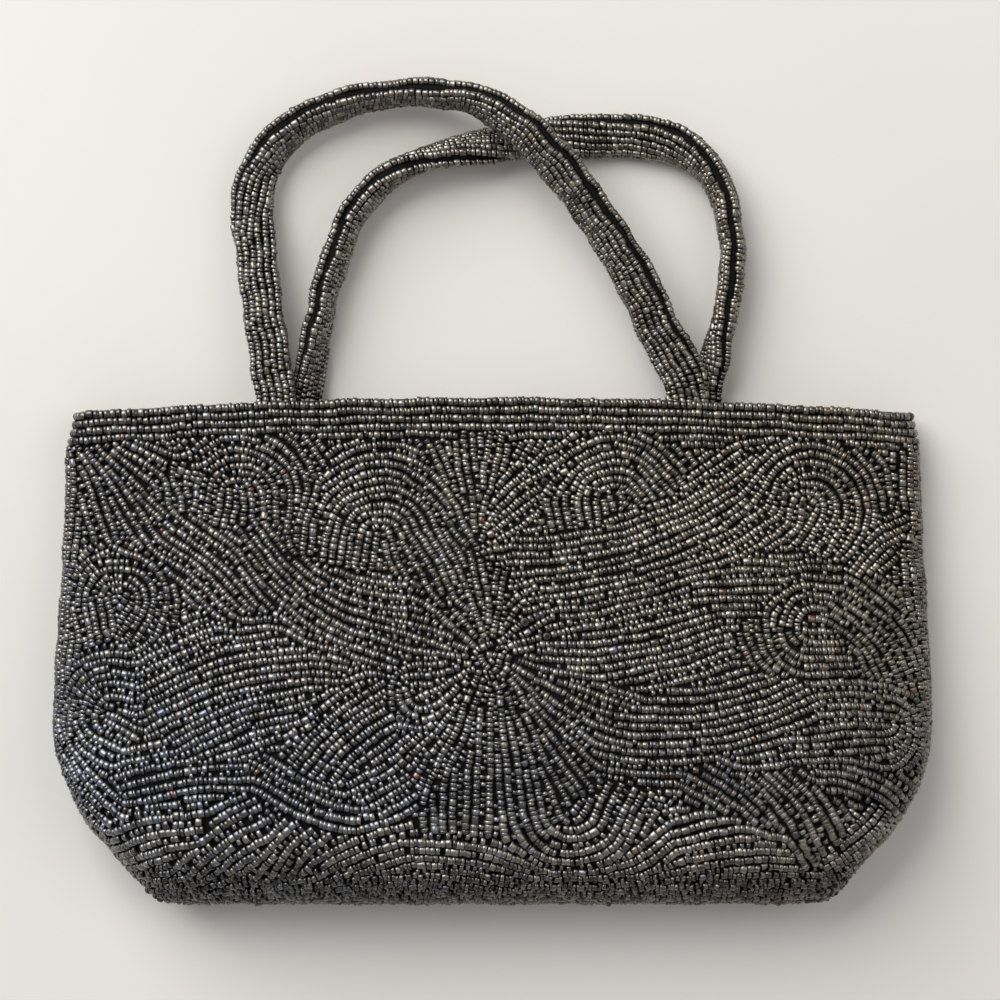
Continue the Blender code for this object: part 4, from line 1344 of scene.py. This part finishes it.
def make_handle(side, route, parent, body, looks, rng):
    """A beaded tube with its cord inside. Its feet are sewn down, so it bends just above them."""
    foot_y = FOOT_Y + CLEARANCE
    turn = np.interp(np.linspace(0, 1, STRAP_RINGS + 1), *GROOVE_TURNS[side])
    lines, normals = strap_lines(route, foot_y, handle_rows(), HANDLE_INSET, turn)
    rows = [beads_along(line, normal, HANDLE_BEAD_RADIUS, rng) for line, normal in zip(lines, normals)]
    beads = Beads.gather(rows).waver(HANDLE_WAVER, WAVER_LENGTH, HANDLE_SEEDS[body]).loosen(rng)
    pieces = add_beads(f"{side}_handle_beads", beads, looks["beads"], None, "beads", rng)
    around = np.linspace(0, 1, HANDLE_CLOTH_SIDES, endpoint=False)
    outer, inner, core = (
        strap_lines(route, foot_y, around, depth)[0].transpose(1, 0, 2)
        for depth in (*HANDLE_CLOTH, HANDLE_CORE)
    )
    name = f"{side}_handle_cord"
    cord = new_piece(name, cord_mesh(name, core), looks["cord"])
    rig.slot(cord, "cord")
    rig.replaces(cord, f"{side}_handle_core")
    name = f"{side}_handle_cloth"
    tube = new_piece(name, shell_mesh(name, outer, inner, closed=True), looks["cloth"])
    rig.slot(tube, "beads")
    flat, area = cut_size(np.concatenate([(outer + inner) / 2, (outer + inner)[:, :1] / 2], axis=1))
    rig.sheet(tube, flat=flat, area=area, held="stretched", rests_on=[cord.name], with_pieces=pieces)
    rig.replaces(tube, f"{side}_handle_cover")
    for piece in (*pieces, cord, tube):
        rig.blend(piece, parent, body, start=(0, foot_y, 0), end=(0, foot_y + HANDLE_BEND, 0))


def base_shade_and_wear(lengths):
    """How far into the base these lengths are, from 0 to 1: there its beads are darkened as painted shade, and they
    have worked loose.
    """
    return np.clip((lengths - PANEL_LENGTH - BASE_SHADE_AND_WEAR_FROM) / (BASE_SHADE_AND_WEAR_TO - BASE_SHADE_AND_WEAR_FROM), 0, 1)


def bent_wave(first, second, waves, bend, bends):
    """A wave along the first direction, which another wave along the second one bends."""
    return np.sin(waves * first + bend * np.sin(bends * second))


def painted_shading(places, shade_and_wear):
    """How bright each bead is, as painted light: painted shade on the base, and broad painted shading that drifts over
    the bag.
    """
    x, y = places[:, 0] / WIDEST, places[:, 1] / BODY_LENGTH
    drift = bent_wave(x, y, *PAINTED_SHADING_ACROSS) * bent_wave(y, x, *PAINTED_SHADING_ALONG)
    return (1 - PAINTED_BASE_SHADE_share * shade_and_wear) * (1 + PAINTED_SHADING_DRIFT * (drift - 1))


def make_bag_beads(looks, rng):
    surface = Surface()
    beads, lengths = bag_rows(surface, rng)
    facing = np.arctan2(beads.normal[:, 2], beads.normal[:, 0])
    facing = np.where(facing < -math.pi / 2, facing + FULL_TURN, facing)
    on_panel = lengths < PANEL_LENGTH
    front = on_panel & (facing > FRONT_SEAM_ANGLE) & (facing < math.pi - FRONT_SEAM_ANGLE)
    back = on_panel & ((facing < BACK_SEAM_ANGLE) | (facing > math.pi - BACK_SEAM_ANGLE))
    right = on_panel & ~front & ~back & (beads.place[:, 0] > 0)
    left = on_panel & ~front & ~back & ~right
    # Painted shade on the base, and looser beads there.
    shade_and_wear = base_shade_and_wear(lengths)
    # Painted light on each bead: painted shade on the base, broad painted shading, and painted shade and light by the
    # fold.
    beads.painted_light = painted_shading(beads.place, shade_and_wear) * np.interp(lengths - PANEL_LENGTH, *FOLD_PAINTED_LIGHT)
    swell = np.interp(lengths - PANEL_LENGTH, *FOLD_SWELL)
    beads.radius = beads.radius * swell
    beads.half_length = beads.half_length * swell
    beads.waver(ROW_WAVER, WAVER_LENGTH, BEAD_SEED).loosen(rng, 1 + WORN_SLACK * shade_and_wear)
    for x, y in RING_BEADS:
        spot = (middle_across(x), middle_up(y))
        away = ((beads.place[:, :2] - spot) ** 2).sum(1) + np.where(front, 0, FAR)
        beads.turn_on_end(np.argmin(away))
    made = {}
    for name, which, body in (
        ("front", front, "front"),
        ("back", back, "bag"),
        ("left_side", left, "bag"),
        ("right_side", right, "bag"),
        ("base", ~on_panel, "bag"),
    ):
        made[name] = add_beads(f"{name}_beads", beads.chosen(which), looks["beads"], body, "beads", rng)
    return made


def base_lengths():
    """Lengths down the core of the rings of cloth on the base, closer together towards its middle."""
    turns = np.linspace(0, math.pi / 2, BASE_CLOTH_RINGS)
    lengths = CORE_LENGTH - BASE_REACH * (1 - np.sin(turns))
    lengths[0] += CLEARANCE / 2
    return lengths


def layer_grids(lengths, facings, columns, outer_height, inner_height):
    """The outer and the inner grid of points of a layer of cloth."""
    grids = [rings_at(lengths, facings, columns, height) for height in (outer_height, inner_height)]
    if facings == ALL_ROUND:
        grids = [grid[:, :-1] for grid in grids]
    return grids


def make_beaded_cloth(looks, beads):
    """The black cloth under the beads, in the panels of the CAD."""
    whole = np.linspace(0, PANEL_LENGTH - CLEARANCE / 2, CLOTH_RINGS)
    for name, lengths, facings, columns, body, rests_on in (
        ("front", whole, FRONT_facings, CLOTH_COLUMNS, "front", "base_cloth"),
        ("back", whole, BACK_facings, CLOTH_COLUMNS, "bag", "base_cloth"),
        ("left_side", whole, LEFT_facings, CLOTH_SIDE_COLUMNS, "bag", "base_cloth"),
        ("right_side", whole, RIGHT_facings, CLOTH_SIDE_COLUMNS, "bag", "base_cloth"),
        ("base", base_lengths(), ALL_ROUND, CLOTH_COLUMNS * 2, "bag", "base_board"),
    ):
        grids = layer_grids(lengths, facings, columns, WALL - CLOTH_BELOW, WALL - BEADED_CLOTH)
        cloth(f"{name}_cloth", *grids, looks["cloth"], body, "beads", "stretched", [rests_on],
              node=f"{name}_panel", closed=facings == ALL_ROUND, with_pieces=beads[name])


def rippled(grid, depth, seed):
    """A grid of points with soft ripples, as unstretched lining has."""
    rng = np.random.default_rng(seed)
    lines, columns = grid.shape[:2]
    v, u = np.mgrid[0:lines, 0:columns]
    waves = np.zeros((lines, columns))
    for _ in range(RIPPLES):
        across = rng.uniform(*RIPPLES_ACROSS) * u / columns
        down = rng.uniform(*RIPPLES_ALONG) * v / lines
        waves += np.sin(FULL_TURN * (across + down) + rng.uniform(0, FULL_TURN))
    waves = (waves / RIPPLES + 1) / 2 * depth
    a = np.gradient(grid, axis=0)
    b = np.gradient(grid, axis=1)
    return grid + waves[..., None] * unit(np.cross(a, b))


def make_lining(looks):
    """Satin lining and ribbon facings, each in place of its CAD layer."""
    whole = np.linspace(0, PANEL_LENGTH - CLEARANCE / 2, CLOTH_RINGS)
    facing_end = FACING_SETBACK + FACING_DEPTH
    below = np.linspace(facing_end + CLEARANCE, PANEL_LENGTH - CLEARANCE / 2, CLOTH_RINGS)
    band = np.linspace(FACING_SETBACK, facing_end, FACING_RINGS)
    padding = LINING + CLEARANCE
    for side, facings, body in (("front", FRONT_facings, "front"), ("back", BACK_facings, "bag")):
        grids = layer_grids(below, facings, CLOTH_COLUMNS, padding + INTERLINING, padding)
        name = f"{side}_interlining"
        cloth(f"{name}_cloth", *grids, looks["padding"], body, "padding", "stretched",
              [f"{side}_cloth"], node=name)
    for seed, (name, lengths, facings, columns, body, look, rests_on) in enumerate((
        ("front_lining", below, FRONT_facings, CLOTH_COLUMNS, "front", "satin", "front_interlining_cloth"),
        ("back_lining", below, BACK_facings, CLOTH_COLUMNS, "bag", "satin", "back_interlining_cloth"),
        ("left_side_lining", whole, LEFT_facings, CLOTH_SIDE_COLUMNS, "bag", "satin", "left_side_cloth"),
        ("right_side_lining", whole, RIGHT_facings, CLOTH_SIDE_COLUMNS, "bag", "satin", "right_side_cloth"),
        ("front_facing", band, FRONT_facings, CLOTH_COLUMNS, "front", "ribbon", "front_cloth"),
        ("back_facing", band, BACK_facings, CLOTH_COLUMNS, "bag", "ribbon", "back_cloth"),
        ("base_lining", base_lengths(), ALL_ROUND, CLOTH_COLUMNS * 2, "bag", "satin", "base_board"),
    )):
        grids = layer_grids(lengths, facings, columns, LINING, LINING - LINING_CLOTH)
        closed = facings == ALL_ROUND
        if look == "satin" and not closed:
            grids = [rippled(grid, LINING_RIPPLE, seed) for grid in grids]
        cloth(f"{name}_cloth", *grids, looks[look], body, look, "stretched", [rests_on],
              node=name, closed=closed)


def gusset_rings(lengths, sign, height, layer):
    """Points of one layer of a side gusset, from the seam to its fold, each line at one length."""
    lines = []
    for length in lengths:
        points, normals = core_ring(length, GUSSET_SEAM_ANGLE, math.pi / 2, GUSSET_SAMPLES)
        reach = np.linspace(points[0, 0], GUSSET_FOLD, GUSSET_COLUMNS + 1)
        share = np.linspace(0, 1, GUSSET_COLUMNS + 1)
        apart = np.interp(share, GUSSET_SWELL_places, GUSSET_SWELL) * GUSSET_LAYERS_APART * layer
        points = points + (height - GUSSET_BELOW) * normals
        line = at_reach(-reach, -points[:, 0], points)
        line[:, 0] *= sign
        line[:, 1] -= sag(line[:, 0], length)
        line[:, 2] += apart
        lines.append(line)
    return np.array(lines)


def make_gussets(looks):
    """Satin gussets folded inwards at both sides, which join the front to the bag as the mouth opens."""
    lengths = np.linspace(GUSSET_SETBACK, PANEL_LENGTH - GUSSET_SETBACK, CLOTH_RINGS)
    past_the_fold = 2 * GUSSET_FOLD - GUSSET_SEAM
    for side, sign in (("left", -1), ("right", 1)):
        for name, layer, start, end, rests_on in (
            (f"{side}_gusset_lower", -1, GUSSET_SEAM, past_the_fold, f"{side}_side_lining_cloth"),
            (f"{side}_gusset_upper", 1, past_the_fold, GUSSET_SEAM, f"{side}_gusset_lower"),
        ):
            outer = gusset_rings(lengths, sign, 0, layer)
            inner = gusset_rings(lengths, sign, -GUSSET_CLOTH, layer)
            if sign < 0:
                outer, inner = outer[:, ::-1], inner[:, ::-1]
            piece = cloth(name, outer, inner, looks["satin"], None, "satin", "folded", [rests_on])
            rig.blend(piece, "bag", "front", start=(sign * start, 0, 0), end=(sign * end, 0, 0))


def make_pocket(looks):
    """The slip pocket: a folded square of satin with a hem at its mouth, sewn to the back lining."""
    left, right = -POCKET_WIDTH / 2, POCKET_WIDTH / 2
    top = MOUTH_Y - POCKET_FROM_MOUTH
    floor = WALL + CLEARANCE
    u, v = np.meshgrid(np.linspace(0, 1, POCKET_COLUMNS), np.linspace(0, 1, POCKET_LINES))
    x = left + (right - left) * u
    y = top - POCKET_LENGTH * v
    hem = np.clip(1 - v * POCKET_LENGTH / POCKET_HEM, 0, 1)
    slack = POCKET_SLACK * np.sin(math.pi * u) * np.sin(math.pi * np.clip(1 - v, 0, 1) / 2) ** 2
    height = floor + POCKET_CLOTH * (0.5 + 0.5 * (hem > 0)) + slack
    outer = np.stack([x, y, height], axis=-1)
    inner = outer - (0, 0, POCKET_CLOTH / 2)
    outer[:, [0, -1], 2] = floor + POCKET_EDGE
    inner[:, [0, -1], 2] = floor
    outer[-1, :, 2] = floor + POCKET_EDGE
    inner[-1, :, 2] = floor
    cloth("slip_pocket_cloth", outer, inner, looks["satin"], "bag", "satin", "hung",
          ["back_lining_cloth"], node="slip_pocket")


class Value:
    """A number from a shader socket. Python's operators on it add Math nodes."""

    def __init__(self, look, socket):
        self.look = look
        self.socket = socket

    def worked(self, operation, *terms):
        return self.look.node("ShaderNodeMath", {"operation": operation}, dict(enumerate(terms)))

    def __add__(self, other):
        return self.worked("ADD", self, other)

    def __radd__(self, other):
        return self.worked("ADD", other, self)

    def __mul__(self, other):
        return self.worked("MULTIPLY", self, other)

    def __rmul__(self, other):
        return self.worked("MULTIPLY", other, self)


class Look:
    """A material being made, with its Principled shader."""

    def __init__(self, name, roughness=0.5, metallic=0.0, **steady):
        self.material = bpy.data.materials.new(name)
        self.material.use_nodes = True
        self.tree = self.material.node_tree
        self.shader = self.tree.nodes["Principled BSDF"]
        self.shader.inputs["Roughness"].default_value = roughness
        self.shader.inputs["Metallic"].default_value = metallic
        for socket, value in steady.items():
            self.shader.inputs[socket.replace("_", " ")].default_value = value

    def node(self, kind, settings=None, sockets=None, output=0):
        """Adds a node: its settings first, then the values or links of its sockets."""
        made = self.tree.nodes.new(kind)
        for setting, value in (settings or {}).items():
            if setting == "stops":
                self.set_stops(made.color_ramp, value)
            else:
                setattr(made, setting, value)
        for socket, value in (sockets or {}).items():
            self.feed(made.inputs[socket], value)
        return Value(self, made.outputs[output])

    def set_stops(self, ramp, stops):
        while len(ramp.elements) < len(stops):
            ramp.elements.new(1)
        for element, (place, value) in zip(ramp.elements, stops):
            element.position = place
            element.color = (*value, 1) if isinstance(value, tuple) else (value, value, value, 1)

    def feed(self, socket, value):
        if isinstance(value, Value):
            self.tree.links.new(value.socket, socket)
        elif isinstance(value, tuple) and len(value) == 3 and socket.type == "RGBA":
            socket.default_value = (*value, 1)
        else:
            socket.default_value = value

    def mix(self, share, first, second, blend="MIX"):
        settings = {"data_type": "RGBA", "blend_type": blend}
        return self.node("ShaderNodeMix", settings, {0: share, 6: first, 7: second}, output=2)

    def place(self, scale=(1, 1, 1)):
        """The object's own coordinates in metres, scaled."""
        where = self.node("ShaderNodeTexCoord", output="Object")
        return self.node("ShaderNodeMapping", {}, {"Vector": where, "Scale": scale})

    def noise(self, scale, detail=2.0, place=None):
        vector = place or self.place()
        return self.node("ShaderNodeTexNoise", {}, {"Vector": vector, "Scale": scale, "Detail": detail})

    def wave(self, scale, direction, distortion=0.0):
        settings = {"wave_type": "BANDS", "bands_direction": direction}
        sockets = {"Vector": self.place(), "Scale": scale, "Distortion": distortion}
        return self.node("ShaderNodeTexWave", settings, sockets)

    def ramp(self, share, stops):
        return self.node("ShaderNodeValToRGB", {"stops": stops}, {"Fac": share})

    def attribute(self, name):
        return self.node("ShaderNodeAttribute", {"attribute_name": name}, output="Fac")

    def bump(self, height, distance, strength=1.0):
        sockets = {"Height": height, "Distance": distance, "Strength": strength}
        self.feed(self.shader.inputs["Normal"], self.node("ShaderNodeBump", {}, sockets))

    def finish(self, **sockets):
        for socket, value in sockets.items():
            self.feed(self.shader.inputs[socket.replace("_", " ")], value)
        return self.material


def bead_look():
    """Dark metallic glass: mostly gunmetal, some bronze or blue, with black thread holes and painted shade on the bead
    ends where they touch.
    """
    look = Look("gunmetal glass beads", roughness=0.4, metallic=1.0)
    shade, tone, hole = (look.attribute(name) for name in ("shade", "tone", "hole"))
    colour = look.ramp(tone, BEAD_TONES)
    # The colour is darkened by each bead's shade, which holds painted light.
    colour = look.mix(1.0, colour, look.ramp(shade, [(0, (0, 0, 0)), (1, (1, 1, 1))]), "MULTIPLY")
    # Black in the holes, and painted shade on the bead ends.
    colour = look.mix(hole, colour, (0.004, 0.004, 0.004))
    return look.finish(Base_Color=colour, Roughness=0.24 + 0.15 * shade + 0.4 * hole)


def cloth_look():
    """Black woven cloth between the beads, with its threads and sewing stitches."""
    look = Look("black woven cloth", roughness=0.9, Specular_IOR_Level=0.2)
    warp, weft = look.wave(900, "X"), look.wave(900, "Y")
    dust = look.noise(240, 4)
    look.bump(warp * weft + 0.4 * dust, CLOTH_RELIEF)
    colour = look.ramp(dust, [(0.3, (0.002, 0.002, 0.002)), (0.75, (0.006, 0.0055, 0.0055))])
    return look.finish(Base_Color=colour)


def satin_look():
    look = Look("black satin", roughness=0.34, Sheen_Weight=0.25, Anisotropic=0.5)
    drift = look.noise(38, 3)
    threads = look.wave(1600, "X", 1.5)
    look.bump(0.5 * drift + 0.2 * threads, SATIN_RELIEF)
    colour = look.ramp(drift, [(0.3, (0.010, 0.010, 0.011)), (0.7, (0.020, 0.019, 0.021))])
    return look.finish(Base_Color=colour, Roughness=0.28 + 0.16 * drift)


def ribbon_look():
    look = Look("black ribbed ribbon", roughness=0.6)
    ribs = look.wave(520, "X")
    fuzz = look.noise(900, 3)
    look.bump(ribs + 0.2 * fuzz, RIBBON_RELIEF)
    colour = look.ramp(ribs, [(0.1, (0.006, 0.006, 0.007)), (0.9, (0.022, 0.021, 0.023))])
    return look.finish(Base_Color=colour, Roughness=0.5 + 0.2 * fuzz)


def padding_look():
    look = Look("charcoal interlining", roughness=0.95)
    fibres = look.noise(700, 6)
    look.bump(fibres, PADDING_RELIEF)
    colour = look.ramp(fibres, [(0.25, (0.045, 0.045, 0.046)), (0.75, (0.10, 0.10, 0.10))])
    return look.finish(Base_Color=colour)


def card_look():
    look = Look("dark stiffener card", roughness=0.85)
    fibres = look.noise(420, 6, look.place((1, 3, 1)))
    look.bump(fibres, CARD_RELIEF)
    colour = look.ramp(fibres, [(0.3, (0.030, 0.028, 0.026)), (0.7, (0.055, 0.052, 0.048))])
    return look.finish(Base_Color=colour, Roughness=0.75 + 0.2 * fibres)


def cord_look():
    look = Look("twisted black cord", roughness=0.9)
    strands = look.wave(420, "DIAGONAL", 2.0)
    look.bump(strands, CORD_RELIEF)
    colour = look.ramp(strands, [(0.2, (0.02, 0.02, 0.02)), (0.8, (0.06, 0.06, 0.06))])
    return look.finish(Base_Color=colour)


def metal_look():
    look = Look("nickel-plated snap", roughness=0.22, metallic=1.0)
    wear = look.noise(260, 4)
    scratches = look.noise(900, 2, look.place((1, 14, 1)))
    look.bump(scratches, METAL_RELIEF, 0.5)
    colour = look.ramp(wear, [(0.35, (0.50, 0.49, 0.46)), (0.65, (0.68, 0.67, 0.65))])
    return look.finish(Base_Color=colour, Roughness=0.16 + 0.2 * wear)


def floor_look():
    look = Look("pale floor", roughness=0.5)
    drift = look.noise(3, 3)
    colour = look.ramp(drift, [(0.35, FLOOR_DARKER), (0.65, FLOOR_LIGHTER)])
    return look.finish(Base_Color=colour)


def make_looks():
    return {
        "beads": bead_look(),
        "cloth": cloth_look(),
        "satin": satin_look(),
        "ribbon": ribbon_look(),
        "padding": padding_look(),
        "card": card_look(),
        "cord": cord_look(),
        "metal": metal_look(),
    }


def dress_cad_nodes(looks):
    """Each CAD piece gets the look that its name calls for."""
    for name, node in frame["nodes"].items():
        look = next(look for word, look in CAD_LOOKS.items() if word in name)
        for slot in node.material_slots:
            slot.link = "OBJECT"
            slot.material = looks[look]


def make_floor():
    mesh = bpy.data.meshes.new("floor")
    half = FLOOR_SIZE / 2
    corners = [(-half, -half), (half, -half), (half, half), (-half, half)]
    mesh.from_pydata([(x, y, cad_box[0][2]) for x, y in corners], [], [(0, 1, 2, 3)])
    floor = bpy.data.objects.new("floor", mesh)
    bpy.context.scene.collection.objects.link(floor)
    mesh.materials.append(floor_look())
    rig.stage(floor)


def aim(obj, place, target):
    obj.location = place
    obj.rotation_euler = (Vector(target) - Vector(place)).to_track_quat("-Z", "Y").to_euler()


def make_camera():
    data = bpy.data.cameras.new("camera")
    data.lens = SENSOR * CAMERA_DISTANCE / VIEW_WIDTH
    data.sensor_width = SENSOR
    camera = bpy.data.objects.new("camera", data)
    bpy.context.scene.collection.objects.link(camera)
    x, y = VIEW_MIDDLE
    camera.location = (x, y, VIEW_PLANE + CAMERA_DISTANCE)
    bpy.context.scene.camera = camera


def make_lamps():
    for name, place, size, power, colour in LAMPS:
        data = bpy.data.lights.new(name, "AREA")
        data.shape = "RECTANGLE"
        data.size, data.size_y = size
        data.energy = power
        data.color = colour
        lamp = bpy.data.objects.new(name, data)
        bpy.context.scene.collection.objects.link(lamp)
        aim(lamp, place, (0, 0, 0))


def make_world():
    world = bpy.data.worlds.new("studio")
    bpy.context.scene.world = world
    world.use_nodes = True
    light = world.node_tree.nodes["Background"]
    light.inputs["Color"].default_value = (*WORLD_COLOUR, 1)
    light.inputs["Strength"].default_value = WORLD_STRENGTH


def main():
    bpy.context.scene.view_settings.view_transform = "Standard"
    make_camera()
    make_lamps()
    make_world()
    make_floor()
    looks = make_looks()
    dress_cad_nodes(looks)
    rng = np.random.default_rng(BEAD_SEED)
    beads = make_bag_beads(looks, rng)
    make_handle("front", FRONT_ROUTE_shares, "front", "front_handle", looks, rng)
    make_handle("back", BACK_ROUTE_shares, "bag", "back_handle", looks, rng)
    make_beaded_cloth(looks, beads)
    make_lining(looks)
    make_gussets(looks)
    make_pocket(looks)


main()

with open("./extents.json", "w") as sizes:
    json.dump([[list(corner) for corner in box] for box in (cad_box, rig.bounds())], sizes)
